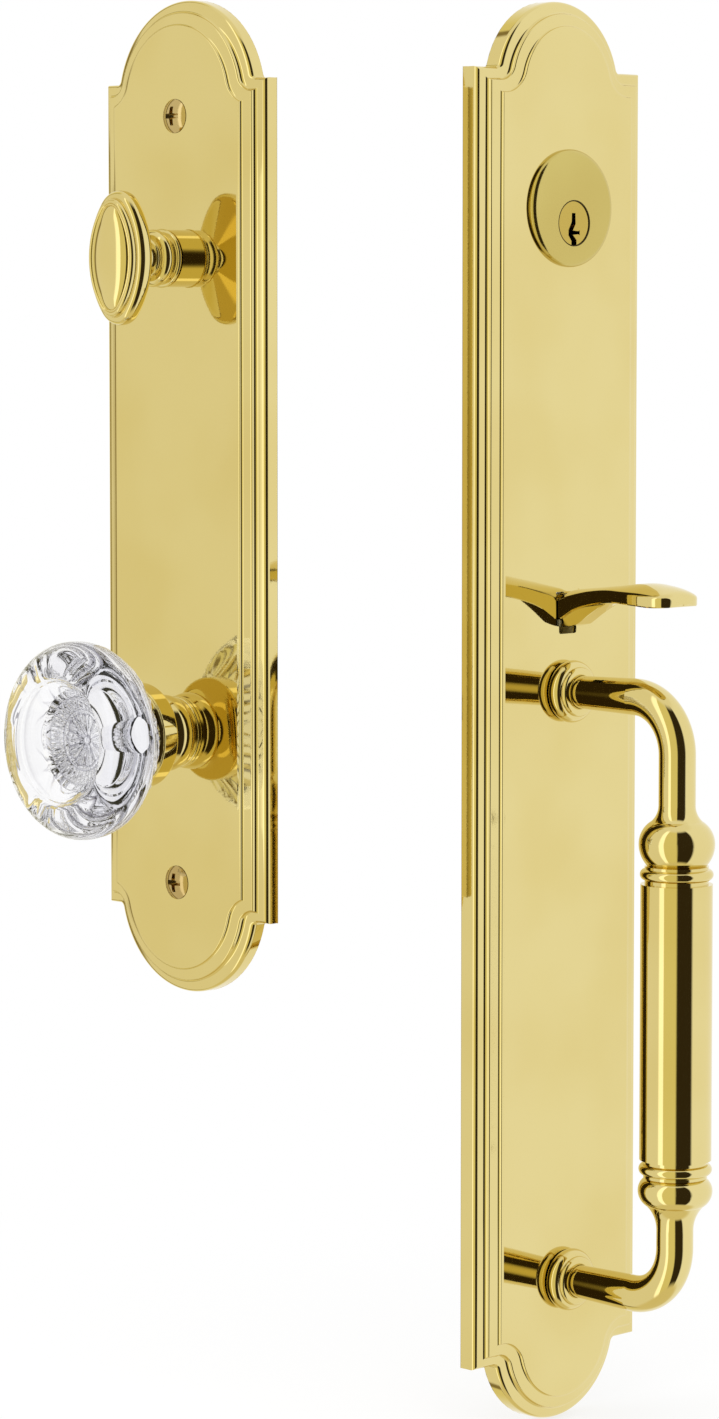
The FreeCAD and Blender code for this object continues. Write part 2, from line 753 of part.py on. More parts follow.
for height in CHAMBERS:
    circle(plug_chambers, "0", height, "chamber_radius")
pocket(plug, plug_chambers, "plug_radius - 0.4", reverse=True)
tail_slot = sketch_on(plug, "XY_Plane", f"-{PLUG_BACK}")
draw(tail_slot, box_outline(
    "-(tailpiece_width / 2 + slip_fit)", "-(tailpiece_thickness / 2 + slip_fit)",
    "(tailpiece_width / 2 + slip_fit)", "(tailpiece_thickness / 2 + slip_fit)",
))
pocket(plug, tail_slot, "1.5", reverse=True)

plug_clip = tube(
    "plug_clip", "outside", "plug_radius + plug_clip_width", "plug_radius - clip_groove_depth + slip_fit",
    "-(cylinder_depth + face_gap + plug_clip_thickness)", "-(cylinder_depth + face_gap)", y="-plug_drop",
)
clip_mouth = sketch_on(plug_clip, "XY_Plane", "-cylinder_depth")
draw(clip_mouth, box_outline("-3", "-(plug_radius + plug_clip_width + 1)", "3", "0"))
pocket(plug_clip, clip_mouth, "plug_clip_thickness + 1")

tailpiece = new_body("lock_tailpiece", "outside", y="-plug_drop", z=f"-({PLUG_BACK} - 1.4)")
tail_section = sketch_on(tailpiece, "XY_Plane")
draw(tail_section, box_outline(
    "-tailpiece_width / 2", "-tailpiece_thickness / 2", "tailpiece_width / 2", "tailpiece_thickness / 2",
))
pad(tailpiece, tail_section, "tailpiece_length", reverse=True)

PIN_RADIUS = "chamber_radius - running_fit"
key_pins = []
driver_pins = []
pin_springs = []
for number, (height, length) in enumerate(zip(CHAMBERS, ("4.2", "5.0", "3.8", "4.6", "4.0"))):
    key_pins.append(turned(f"key_pin_{number}", "outside", [
        ("0", f"{SHEAR_LINE} - face_gap - {length}"),
        ("0.5", f"{SHEAR_LINE} - face_gap - {length}"),
        (PIN_RADIUS, f"{SHEAR_LINE} - face_gap - {length} + 0.9"),
        (PIN_RADIUS, f"{SHEAR_LINE} - face_gap"),
        ("0", f"{SHEAR_LINE} - face_gap"),
    ], z=height, axis="up"))
    driver_pins.append(turned(f"driver_pin_{number}", "outside", [
        ("0", f"{SHEAR_LINE} + slip_fit"),
        (PIN_RADIUS, f"{SHEAR_LINE} + slip_fit"),
        (PIN_RADIUS, f"{SHEAR_LINE} + slip_fit + driver_length"),
        ("0", f"{SHEAR_LINE} + slip_fit + driver_length"),
    ], z=height, axis="up"))
    pin_springs.append(tube(
        f"pin_spring_{number}", "outside", PIN_RADIUS, "chamber_radius - 0.4",
        f"{SHEAR_LINE} + slip_fit + driver_length", COVER_SEAT, z=height, axis="up",
    ))
group("key_pins", key_pins)
group("driver_pins", driver_pins)
group("pin_springs", pin_springs)

cylinder_nut = new_body("cylinder_nut", "outside")
nut_plan = sketch_on(cylinder_nut, "XY_Plane", OUTSIDE_CEILING)
HALF_FLATS = "nut_flats / 2"
HALF_CORNER = "nut_flats / sqrt(3)"
draw(nut_plan, [
    (f"{HALF_CORNER}", "0"),
    (f"{HALF_CORNER} / 2", HALF_FLATS),
    (f"-{HALF_CORNER} / 2", HALF_FLATS),
    (f"-{HALF_CORNER}", "0"),
    (f"-{HALF_CORNER} / 2", f"-{HALF_FLATS}"),
    (f"{HALF_CORNER} / 2", f"-{HALF_FLATS}"),
])
circle(nut_plan, "0", "0", "cylinder_thread_radius + slip_fit")
pad(cylinder_nut, nut_plan, "nut_thickness", reverse=True)


# Thumb latch

PIVOT_Z = "thumb_pivot_height"
FACE_Z = "(outside_rise - thumb_pivot_height)"
TIP_Z = "(outside_rise + thumb_reach - thumb_pivot_height)"

thumb_latch = new_body("thumb_latch", "outside", y=THUMB_Y, z=PIVOT_Z)
side_view = sketch_on(thumb_latch, "YZ_Plane")
draw(side_view, [
    ("-tail_drop", "-tail_length"),
    ("-tail_drop - 0.3", "-4.4"),
    ("thumb_root_top - 0.9", "-1.4"),
    ("thumb_root_top - 0.5", "0.5"),
    ("thumb_root_top", FACE_Z),
    ("thumb_crown", f"{FACE_Z} + 0.5 * thumb_reach", "150", 1),
    ("thumb_tip_top", TIP_Z, "160", 1),
    ("thumb_tip_top - thumb_tip_thickness", TIP_Z),
    ("thumb_crown - 4", f"{FACE_Z} + 0.4 * thumb_reach", "70", -1),
    ("-3.4", f"{FACE_Z} + 1"),
    ("-3.6", "0.5"),
    ("-(tail_drop + tail_height + 0.4)", "-4.4"),
    ("-(tail_drop + tail_height)", "-tail_length"),
])
pad(thumb_latch, side_view, "thumb_leaf_width + 2", middle=True)
plan_view = sketch_on(thumb_latch, "XZ_Plane", "-(thumb_crown + 4)")
HALF_ROOT = "thumb_root_width / 2"
HALF_LEAF = "thumb_leaf_width / 2"
draw(plan_view, box_outline(
    f"-{HALF_LEAF} - 2", "-(tail_length + 2)", f"{HALF_LEAF} + 2", f"{TIP_Z} + 2",
))
LEAF_SHOULDER = f"{FACE_Z} + 0.5 * thumb_reach"
LEAF_END = f"{FACE_Z} + 0.92 * thumb_reach"
draw(plan_view, [
    ("-tail_width / 2", "-tail_length"),
    ("tail_width / 2", "-tail_length"),
    ("tail_width / 2", "-3.4"),
    (HALF_ROOT, "-1.8"),
    (HALF_ROOT, f"{FACE_Z} + 1"),
    (f"{HALF_LEAF} - 1.2", LEAF_SHOULDER, "48", -1),
    (f"{HALF_LEAF} - 3.2", LEAF_END, "23", 1),
    (f"-({HALF_LEAF} - 3.2)", LEAF_END, f"{HALF_LEAF} - 1.9", 1),
    (f"-({HALF_LEAF} - 1.2)", LEAF_SHOULDER, "23", 1),
    (f"-{HALF_ROOT}", f"{FACE_Z} + 1", "48", -1),
    (f"-{HALF_ROOT}", "-1.8"),
    ("-tail_width / 2", "-3.4"),
])
pocket(thumb_latch, plan_view, "thumb_crown + thumb_rib_drop + 20", reverse=True)
rib_view = sketch_on(thumb_latch, "YZ_Plane")
draw(rib_view, [
    ("0", f"{FACE_Z} + 0.6"),
    ("-thumb_rib_drop", f"{FACE_Z} + 0.6"),
    ("-thumb_rib_drop + 0.2", f"{FACE_Z} + 0.6 + thumb_rib_foot"),
    ("thumb_crown - 3.4", f"{FACE_Z} + thumb_rib_reach", "30", 1),
])
pad(thumb_latch, rib_view, "thumb_rib_width", middle=True)
pivot_bore = sketch_on(thumb_latch, "YZ_Plane")
circle(pivot_bore, "0", "0", "thumb_pin_radius + running_fit")
pocket(thumb_latch, pivot_bore, "thumb_leaf_width + 4", middle=True)

turned("thumb_pivot_pin", "outside", [
    ("0", f"-({SLOT_HALF} + lug_width)"),
    ("thumb_pin_radius", f"-({SLOT_HALF} + lug_width)"),
    ("thumb_pin_radius", f"{SLOT_HALF} + lug_width"),
    ("0", f"{SLOT_HALF} + lug_width"),
], y=THUMB_Y, z=PIVOT_Z, axis="across")


# Latch mechanism

BRACKET_BACK = "(bracket_seat - bracket_thickness)"
BRACKET_LOW = f"({LATCH_Y} - bracket_below)"
EAR_Y = f"({LATCH_Y} + bracket_above - bracket_thickness)"
WINDOW_HALF = "(tail_width / 2 + 2 * free_gap)"
WINDOW_LOW = f"({THUMB_Y} - tail_drop - tail_height - lifter_travel)"
bracket = new_body("latch_bracket", "outside", z=BRACKET_BACK)
bracket_plan = sketch_on(bracket, "XY_Plane")
draw(bracket_plan, round_box_outline(
    "(-bracket_width / 2)", BRACKET_LOW, "(bracket_width / 2)", f"({LATCH_Y} + bracket_above)", "4",
))
circle(bracket_plan, "0", LATCH_Y, "hub_journal_radius + running_fit")
draw(bracket_plan, box_outline(
    "-(thumb_root_width / 2 + free_gap)", f"{THUMB_Y} - tail_height - 3",
    "thumb_root_width / 2 + free_gap", f"{THUMB_Y} + thumb_root_top + free_gap",
))
for x, y in SCREW_PLACES:
    circle(bracket_plan, x, y, "bracket_screw_radius + slip_fit")
pad(bracket, bracket_plan, "bracket_thickness")
ear_plan = sketch_on(bracket, "XY_Plane")
draw(ear_plan, box_outline("-tab_width / 2", EAR_Y, "tab_width / 2", f"{EAR_Y} + bracket_thickness"))
pad(bracket, ear_plan, "bracket_ear", reverse=True)

bracket_screws = []
for number, (x, y) in enumerate(SCREW_PLACES):
    bracket_screws.append(turned(f"bracket_screw_{number}", "outside", [
        ("0", "-1.5"),
        ("2.2", "-1.5"),
        ("2.8", "-0.9"),
        ("2.8", "0"),
        ("bracket_screw_radius - slip_fit", "0"),
        ("bracket_screw_radius - slip_fit", "5"),
        ("0", "5"),
    ], x=x, y=y, z=BRACKET_BACK))
group("bracket_screws", bracket_screws)

LIFTER_FRONT = f"({BRACKET_BACK} - face_gap)"
LIFTER_BACK = f"({LIFTER_FRONT} - lifter_thickness)"
TAB_Y = f"({THUMB_Y} - tail_drop + free_gap)"
LIFTER_LOW = f"({LATCH_Y} - lifter_below)"
PIN_WAY = "(cam_pin_offset - cam_pin_radius - free_gap - 1.5)"
lifter = new_body("latch_lifter", "outside", z=LIFTER_BACK)
lifter_plan = sketch_on(lifter, "XY_Plane")
draw(lifter_plan, round_box_outline(
    "-lifter_left", LIFTER_LOW, "lifter_right", f"({TAB_Y} + lifter_thickness)", "1.5",
))
draw(lifter_plan, box_outline(
    f"-{WINDOW_HALF}", WINDOW_LOW, WINDOW_HALF, TAB_Y,
))
NECK_WAY = "hub_neck_radius + free_gap"
draw(lifter_plan, round_box_outline(
    f"(-({NECK_WAY}))", f"({LATCH_Y} - lifter_travel - {NECK_WAY} - free_gap)",
    f"({NECK_WAY})", f"({LATCH_Y} + {NECK_WAY})", f"(0.98 * ({NECK_WAY}))",
))
draw(lifter_plan, box_outline(
    PIN_WAY, f"{LATCH_Y} - cam_pin_radius - free_gap",
    "cam_pin_offset + cam_pin_radius + free_gap", f"{LATCH_Y} + cam_pin_radius + free_gap",
))
pad(lifter, lifter_plan, "lifter_thickness")
tab_plan = sketch_on(lifter, "XY_Plane")
draw(tab_plan, box_outline("-tab_width / 2", TAB_Y, "tab_width / 2", f"{TAB_Y} + lifter_thickness"))
pad(lifter, tab_plan, "tab_reach", reverse=True)

CAM_FRONT = f"({LIFTER_BACK} - face_gap)"
CAM_BACK = f"({CAM_FRONT} - cam_thickness)"
CLIP_BACK = "(bracket_seat + slip_fit)"
NOSE = f"({CLIP_BACK} + clip_thickness + hub_nose - 0.7)"
cam = turned("latch_cam", "outside", [
    ("0", f"{CAM_BACK} - hub_boss_length"),
    ("hub_boss_radius", f"{CAM_BACK} - hub_boss_length"),
    ("hub_boss_radius", CAM_FRONT),
    ("hub_neck_radius", CAM_FRONT),
    ("hub_neck_radius", BRACKET_BACK),
    ("hub_journal_radius", BRACKET_BACK),
    ("hub_journal_radius", CLIP_BACK),
    ("hub_journal_radius - clip_groove_depth", CLIP_BACK),
    ("hub_journal_radius - clip_groove_depth", f"{CLIP_BACK} + clip_thickness + running_fit"),
    ("hub_journal_radius", f"{CLIP_BACK} + clip_thickness + running_fit"),
    ("hub_journal_radius", NOSE),
    ("0", NOSE),
], y=LATCH_Y)
arm_plan = sketch_on(cam, "XY_Plane", CAM_FRONT)
draw(arm_plan, [
    ("0", "-cam_arm_radius"),
    ("cam_pin_offset", "-cam_arm_radius"),
    ("cam_pin_offset + cam_arm_radius", "0", "cam_arm_radius", 1),
    ("cam_pin_offset", "cam_arm_radius", "cam_arm_radius", 1),
    ("0", "cam_arm_radius"),
])
pad(cam, arm_plan, "cam_thickness", reverse=True)
cam_pin = sketch_on(cam, "XY_Plane", f"{CAM_FRONT} - 0.5")
circle(cam_pin, "cam_pin_offset", "0", "cam_pin_radius")
pad(cam, cam_pin, "lifter_thickness + face_gap + 0.5")
socket = sketch_on(cam, "XY_Plane", f"{CAM_BACK} - hub_boss_length")
SQUARE_HALF = "(spindle_square / 2 + running_fit)"
draw(socket, box_outline(f"-{SQUARE_HALF}", f"-{SQUARE_HALF}", SQUARE_HALF, SQUARE_HALF))
pocket(cam, socket, "hub_boss_length", reverse=True)

cam_clip = tube(
    "cam_clip", "outside", "hub_journal_radius - clip_groove_depth + clip_width",
    "hub_journal_radius - clip_groove_depth + slip_fit", CLIP_BACK, f"{CLIP_BACK} + clip_thickness",
    y=LATCH_Y,
)
cam_clip_mouth = sketch_on(cam_clip, "XY_Plane", "bracket_seat + 3")
draw(cam_clip_mouth, box_outline("-2.6", "-(hub_journal_radius + clip_width + 1)", "2.6", "0"))
pocket(cam_clip, cam_clip_mouth, "6")

latch_spindle = new_body("latch_spindle", "outside", y=LATCH_Y, z=f"({CAM_BACK} - slip_fit)")
spindle_section = sketch_on(latch_spindle, "XY_Plane")
SPINDLE_HALF = "spindle_square / 2"
draw(spindle_section, box_outline(f"-{SPINDLE_HALF}", f"-{SPINDLE_HALF}", SPINDLE_HALF, SPINDLE_HALF))
pad(latch_spindle, spindle_section, "latch_spindle_length", reverse=True)

spring_path = doc.addObject("Part::Helix", "spring_path")
bind(spring_path, "Radius", "spring_radius - spring_wire / 2")
bind(spring_path, "Pitch", "spring_pitch")
SPRING_LOW = f"({TAB_Y} + lifter_thickness + spring_wire / 2)"
bind(spring_path, "Height", f"{EAR_Y} - spring_wire / 2 - {SPRING_LOW}")
spring_wire = doc.addObject("Part::Circle", "spring_wire")
bind(spring_wire, "Radius", "spring_wire / 2")
spring_wire.Placement.Rotation = UPRIGHT
bind(spring_wire, "Placement.Base.x", "spring_radius - spring_wire / 2")
return_spring = doc.addObject("Part::Sweep", "thumb_return_spring")
return_spring.Sections = [spring_wire]
return_spring.Spine = spring_path
return_spring.Solid = True
return_spring.Frenet = True
place(return_spring, "outside", y=SPRING_LOW, z="-spring_back", axis="up")
keep(return_spring, "thumb_return_spring")


# Grip

def fair(across, fall):
    """Return the radius of an arc that ends level after running across and falling."""
    return f"((({across})^2 + ({fall})^2) / (2 * ({fall})))"


def grip_arm(label, post_y, way, run, bulb, middle, length, waist, waist_radius):
    """Make a grip arm: a post bent through an elbow into a turned bulb; way is 1 up or -1 down."""
    arm = new_body(label, "outside", y=post_y, z="outside_rise")
    elbow_start = "(grip_reach - elbow_radius)"
    post_view = sketch_on(arm, "YZ_Plane")
    draw(post_view, [
        ("0", "0"), ("post_radius", "0"), ("neck_radius", elbow_start), ("0", elbow_start),
    ])
    revolve(arm, post_view)
    elbow = sketch_on(arm, "XY_Plane", elbow_start, shift=f"{way} * elbow_radius")
    circle(elbow, "0", f"-{way} * elbow_radius", "neck_radius")
    revolve(arm, elbow, "H_Axis", 90, reverse=way > 0)
    bulb_view = sketch_on(arm, "YZ_Plane", shift="grip_reach")
    draw(bulb_view, [
        (f"{way} * elbow_radius", "0"),
        (f"{way} * elbow_radius", "neck_radius"),
        (f"{way} * ({run} - {length})", "neck_radius"),
        (f"{way} * ({run} - {waist})", waist_radius,
         fair(f"{length} - {waist}", f"{waist_radius} - neck_radius"), way),
        (f"{way} * ({run} - {middle})", bulb, fair(f"{waist} - {middle}", f"{bulb} - {waist_radius}"), -way),
        (f"{way} * {run}", "bulb_root_radius", fair(middle, f"{bulb} - bulb_root_radius"), -way),
        (f"{way} * {run}", "0"),
    ])
    revolve(arm, bulb_view, "H_Axis")
    rod_bore = sketch_on(arm, "XZ_Plane", f"-({way} * {run})")
    circle(rod_bore, "0", "grip_reach", "tie_rod_radius")
    pocket(arm, rod_bore, "tie_rod_bite + 0.2", reverse=way > 0)
    screw_bore = sketch_on(arm, "XY_Plane")
    circle(screw_bore, "0", "0", "post_screw_radius")
    pocket(arm, screw_bore, "post_screw_bite + 0.2", reverse=True)
    return arm


grip_arm(
    "grip_upper_arm", UPPER_POST_Y, -1, "upper_arm_drop", "upper_bulb_radius", "upper_bulb_middle",
    "upper_bulb_length", "upper_waist", "upper_waist_radius",
)
grip_arm(
    "grip_lower_arm", LOWER_POST_Y, 1, "lower_arm_rise", "lower_bulb_radius", "lower_bulb_middle",
    "lower_bulb_length", "lower_waist", "lower_waist_radius",
)

GRIP_Z = "(outside_rise + grip_reach)"
BARREL_TOP = f"({UPPER_POST_Y} - upper_arm_drop - bead_length)"
BARREL_LOW = f"({LOWER_POST_Y} + lower_arm_rise + bead_length)"
BARREL_LENGTH = f"({BARREL_TOP} - {BARREL_LOW})"


def grip_bead(label, low):
    """Make one of the turned beads that close the ends of the grip's barrel."""
    swell = fair("bead_length / 2 - bead_lip", "bead_radius - bead_lip_radius")
    return turned(label, "outside", [
        ("tie_rod_radius + slip_fit", "0"),
        ("bead_lip_radius", "0"),
        ("bead_lip_radius", "bead_lip"),
        ("bead_radius", "bead_length / 2", swell, 1),
        ("bead_lip_radius", "bead_length - bead_lip", swell, 1),
        ("bead_lip_radius", "bead_length"),
        ("tie_rod_radius + slip_fit", "bead_length"),
    ], y=low, z=GRIP_Z, axis="up")


grip_bead("grip_upper_bead", BARREL_TOP)
grip_bead("grip_lower_bead", f"({BARREL_LOW} - bead_length)")
turned("grip_barrel", "outside", [
    ("barrel_radius - barrel_wall", "0"),
    ("bead_lip_radius", "0"),
    ("bead_lip_radius", "barrel_reveal"),
    ("barrel_radius", "barrel_reveal"),
    ("barrel_radius", f"{BARREL_LENGTH} - barrel_reveal"),
    ("bead_lip_radius", f"{BARREL_LENGTH} - barrel_reveal"),
    ("bead_lip_radius", BARREL_LENGTH),
    ("barrel_radius - barrel_wall", BARREL_LENGTH),
], y=BARREL_LOW, z=GRIP_Z, axis="up")
ROD_END = "(bead_length + tie_rod_bite)"
turned("grip_tie_rod", "outside", [
    ("0", f"-{ROD_END}"),
    ("tie_rod_radius", f"-{ROD_END}"),
    ("tie_rod_radius", f"{BARREL_LENGTH} + {ROD_END}"),
    ("0", f"{BARREL_LENGTH} + {ROD_END}"),
], y=BARREL_LOW, z=GRIP_Z, axis="up")


def post_collar(label, post_y):
    """Make the turned collar that stands on the plate round a grip post."""
    swell = fair("collar_bead_length / 2", "collar_bead_swell")
    bead_root = "collar_bead_radius - collar_bead_swell"
    bore = "post_radius + 2 * slip_fit"
    return turned(label, "outside", [
        (bore, "0"),
        (bead_root, "0"),
        ("collar_bead_radius", "collar_bead_length / 2", swell, 1),
        (bead_root, "collar_bead_length", swell, 1),
        ("collar_ring_radius", "collar_bead_length"),
        ("collar_ring_radius", "collar_bead_length + collar_ring_length - 0.4"),
        ("collar_ring_radius - 0.4", "collar_bead_length + collar_ring_length", "0.4", 1),
        (bore, "collar_bead_length + collar_ring_length"),
    ], y=post_y, z="outside_rise")


post_collar("upper_post_collar", UPPER_POST_Y)
post_collar("lower_post_collar", LOWER_POST_Y)
post_screws = []
for number, (x, y) in enumerate(POST_PLACES):
    post_screws.append(turned(f"post_screw_{number}", "outside", [
        ("0", f"{OUTSIDE_CEILING} - post_screw_head_height"),
        ("post_screw_head_radius", f"{OUTSIDE_CEILING} - post_screw_head_height"),
        ("post_screw_head_radius", OUTSIDE_CEILING),
        ("post_screw_radius", OUTSIDE_CEILING),
        ("post_screw_radius", "outside_rise + post_screw_bite"),
        ("0", "outside_rise + post_screw_bite"),
    ], x=x, y=y))
group("grip_post_screws", post_screws)


# Inside plate

inside_plate = plate(
    "interior_plate", "inside", "inside_rise", "inside_top_shoulder",
    "inside_bottom_shoulder", "inside_arch_radius", "inside_arch_drop",
)
holes(inside_plate, [("0", TURN_Y)], "turn_bush_radius + slip_fit", "inside_rise + 1")
holes(inside_plate, [("0", KNOB_Y)], "knob_bush_radius + slip_fit", "inside_rise + 1")
PLATE_SCREWS = [("0", "upper_screw_above_lock"), ("0", "-lower_screw_below_lock")]
bosses(inside_plate, INSIDE_CEILING, INSIDE_CEILING, PLATE_SCREWS, "screw_boss_radius")
holes(inside_plate, PLATE_SCREWS, "screw_shank_radius + slip_fit", "inside_rise + 1")
for x, y in PLATE_SCREWS:
    sink = sketch_on(inside_plate, "YZ_Plane")
    draw(sink, [
        (y, "inside_rise - screw_countersink"),
        (f"{y} + screw_shank_radius", "inside_rise - screw_countersink"),
        (f"{y} + screw_head_radius", "inside_rise"),
        (y, "inside_rise"),
    ])
    sinking = inside_plate.newObject("PartDesign::Groove", "Countersink")
    sinking.Profile = sink
    sinking.ReferenceAxis = (sink, ["Edge4"])
    sinking.Angle = 360


def plate_screw(label, y):
    """Make an oval head wood screw with a cross recess."""
    screw = turned(label, "inside", [
        ("0", "-screw_length"),
        ("screw_shank_radius", "-(screw_length - screw_point)"),
        ("screw_shank_radius", "-(inside_rise + free_gap)"),
        ("screw_neck_radius", "-(inside_rise + free_gap)"),
        ("screw_neck_radius", "-screw_countersink"),
        ("screw_head_radius", "0"),
        ("0", "screw_head_dome", fair("screw_head_radius", "screw_head_dome"), 1),
    ], y=y, z="inside_rise")
    cross = sketch_on(screw, "XY_Plane", "screw_head_dome")
    half, end = "recess_width / 2", "recess_span / 2"
    draw(cross, [
        (f"-{half}", f"-{end}"), (half, f"-{end}"), (half, f"-{half}"), (end, f"-{half}"),
        (end, half), (half, half), (half, end), (f"-{half}", end),
        (f"-{half}", half), (f"-{end}", half), (f"-{end}", f"-{half}"), (f"-{half}", f"-{half}"),
    ])
    pocket(screw, cross, "recess_depth")
    return screw


plate_screw("upper_plate_screw", PLATE_SCREWS[0][1])
plate_screw("lower_plate_screw", PLATE_SCREWS[1][1])


# Turn

def oval(sketch, half_height, half_width, end_radius):
    """Draw an upright oval of four arcs that run smoothly into each other."""
    rise = f"({half_height} - {end_radius})"
    side = f"(({rise}^2 + ({half_width})^2 - ({end_radius})^2) / (2 * ({half_width} - {end_radius})))"
    joint_x = f"(({end_radius}) * ({side} - {half_width}) / ({side} - {end_radius}))"
    joint_y = f"({rise} * (1 + ({end_radius}) / ({side} - {end_radius})))"
    draw(sketch, [
        (joint_x, f"-{joint_y}", end_radius, 1),
        (joint_x, joint_y, side, 1),
        (f"-{joint_x}", joint_y, end_radius, 1),
        (f"-{joint_x}", f"-{joint_y}", side, 1),
    ])


def round_edges(body, radius, chosen):
    """Round the edges of a body whose middle points pass the test."""
    doc.recompute()
    tip = body.Tip
    names = [
        f"Edge{number}" for number, edge in enumerate(tip.Shape.Edges, start=1)
        if chosen(edge.valueAt((edge.FirstParameter + edge.LastParameter) / 2))
    ]
    fillet = body.newObject("PartDesign::Fillet", "Fillet")
    fillet.Base = (tip, names)
    bind(fillet, "Radius", radius)


TURN_BUSH_END = f"({INSIDE_CEILING} - turn_nut_thickness - 0.5)"
turned("turn_bushing", "inside", [
    ("turn_journal_radius + running_fit", TURN_BUSH_END),
    ("turn_bush_radius", TURN_BUSH_END),
    ("turn_bush_radius", "inside_rise"),
    ("turn_barrel_radius", "inside_rise"),
    ("turn_barrel_radius", "inside_rise + turn_barrel_length"),
    ("turn_journal_radius + running_fit", "inside_rise + turn_barrel_length"),
], y=TURN_Y)
turn_nut = new_body("turn_nut", "inside", y=TURN_Y)
turn_nut_plan = sketch_on(turn_nut, "XY_Plane", INSIDE_CEILING)
TURN_CORNER = "turn_nut_flats / sqrt(3)"
draw(turn_nut_plan, [
    (f"{TURN_CORNER}", "0"),
    (f"{TURN_CORNER} / 2", "turn_nut_flats / 2"),
    (f"-{TURN_CORNER} / 2", "turn_nut_flats / 2"),
    (f"-{TURN_CORNER}", "0"),
    (f"-{TURN_CORNER} / 2", "-turn_nut_flats / 2"),
    (f"{TURN_CORNER} / 2", "-turn_nut_flats / 2"),
])
circle(turn_nut_plan, "0", "0", "turn_bush_radius + slip_fit")
pad(turn_nut, turn_nut_plan, "turn_nut_thickness", reverse=True)
tube(
    "turn_washer", "inside", "turn_clip_radius", "turn_journal_radius + slip_fit",
    f"{TURN_BUSH_END} - turn_washer_thickness", TURN_BUSH_END, y=TURN_Y,
)
TURN_GROOVE = f"({TURN_BUSH_END} - turn_washer_thickness - slip_fit)"
turn_clip = tube(
    "turn_clip", "inside", "turn_clip_radius", "turn_journal_radius - clip_groove_depth + slip_fit",
    f"{TURN_GROOVE} - turn_clip_thickness", TURN_GROOVE, y=TURN_Y,
)
turn_clip_mouth = sketch_on(turn_clip, "XY_Plane", TURN_GROOVE)
draw(turn_clip_mouth, box_outline("-2.4", "-(turn_clip_radius + 1)", "2.4", "0"))
pocket(turn_clip, turn_clip_mouth, "turn_clip_thickness + 1")

RING_LOW = "(turn_barrel_length + face_gap)"
RING_HIGH = f"({RING_LOW} + turn_ring_length)"
BEAD_HIGH = f"({RING_HIGH} + turn_bead_length)"
NECK_HIGH = f"({BEAD_HIGH} + turn_neck_length)"
RIM_LOW = f"({NECK_HIGH} + turn_flare_length)"
RIM_HIGH = f"({RIM_LOW} + turn_rim_thickness)"
turn_knob = turned("turn_knob", "inside", [
    ("0", "-(inside_rise + turn_tail)"),
    ("turn_journal_radius", "-(inside_rise + turn_tail)"),
    ("turn_journal_radius", f"{TURN_GROOVE} - turn_clip_thickness - running_fit - inside_rise"),
    ("turn_journal_radius - clip_groove_depth",
     f"{TURN_GROOVE} - turn_clip_thickness - running_fit - inside_rise"),
    ("turn_journal_radius - clip_groove_depth", f"{TURN_GROOVE} - inside_rise"),
    ("turn_journal_radius", f"{TURN_GROOVE} - inside_rise"),
    ("turn_journal_radius", RING_LOW),
    ("turn_ring_radius - 0.3", RING_LOW),
    ("turn_ring_radius - 0.3", f"{RING_LOW} + 0.5 * turn_ring_length", "0.5 * turn_ring_length", 1),
    ("turn_ring_radius - 0.3", RING_HIGH, "0.5 * turn_ring_length", 1),
    ("turn_ring_radius - 1.4", RING_HIGH),
    ("turn_ring_radius - 0.2", f"{RING_HIGH} + 0.5 * turn_bead_length",
     fair("0.5 * turn_bead_length", "1.2"), 1),
    ("turn_neck_radius + 1.2", BEAD_HIGH,
     fair("0.5 * turn_bead_length", "turn_ring_radius - turn_neck_radius - 1.4"), 1),
    ("turn_neck_radius", f"{BEAD_HIGH} + 0.5 * turn_neck_length", fair("0.5 * turn_neck_length", "1.2"), -1),
    ("turn_neck_radius", f"{NECK_HIGH} + 0.5"),
    ("0", f"{NECK_HIGH} + 0.5"),
], y=TURN_Y, z="inside_rise")
flare_root = sketch_on(turn_knob, "XY_Plane", NECK_HIGH)
oval(flare_root, "1.04 * turn_neck_radius", "turn_neck_radius", "0.9 * turn_neck_radius")
flare_middle = sketch_on(turn_knob, "XY_Plane", f"{NECK_HIGH} + 0.55 * turn_flare_length")
oval(flare_middle, "0.26 * turn_oval_height", "0.31 * turn_oval_width", "0.62 * turn_end_radius")
flare_top = sketch_on(turn_knob, "XY_Plane", RIM_LOW)
FLARE_INSET = "(turn_rim_round + 0.6)"
oval(
    flare_top, f"(turn_oval_height / 2 - {FLARE_INSET})", f"(turn_oval_width / 2 - {FLARE_INSET})",
    f"(turn_end_radius - {FLARE_INSET})",
)
flare = turn_knob.newObject("PartDesign::AdditiveLoft", "Flare")
flare.Profile = flare_root
flare.Sections = [flare_middle, flare_top]
rim = sketch_on(turn_knob, "XY_Plane", RIM_LOW)
oval(rim, "(turn_oval_height / 2)", "(turn_oval_width / 2)", "turn_end_radius")
pad(turn_knob, rim, "turn_rim_thickness")
rim_levels = [value(RIM_LOW), value(RIM_HIGH)]
round_edges(turn_knob, "turn_rim_round", lambda point: (
    any(abs(point.z - level) < 0.01 for level in rim_levels)
    and math.hypot(point.x, point.y) > value("turn_oval_width / 2") - 0.1
))
step = sketch_on(turn_knob, "XY_Plane", RIM_HIGH)
STEP_HALVES = ("(turn_oval_height / 2 - turn_step_width)", "(turn_oval_width / 2 - turn_step_width)")
oval(step, *STEP_HALVES, "(turn_end_radius - turn_step_width)")
pad(turn_knob, step, "turn_step_height")
dome_low = sketch_on(turn_knob, "XY_Plane", f"{RIM_HIGH} + turn_step_height")
DOME_INSET = "(turn_step_width + 0.8)"
oval(
    dome_low, f"(turn_oval_height / 2 - {DOME_INSET})", f"(turn_oval_width / 2 - {DOME_INSET})",
    f"(turn_end_radius - {DOME_INSET})",
)
pad(turn_knob, dome_low, "turn_dome_height")
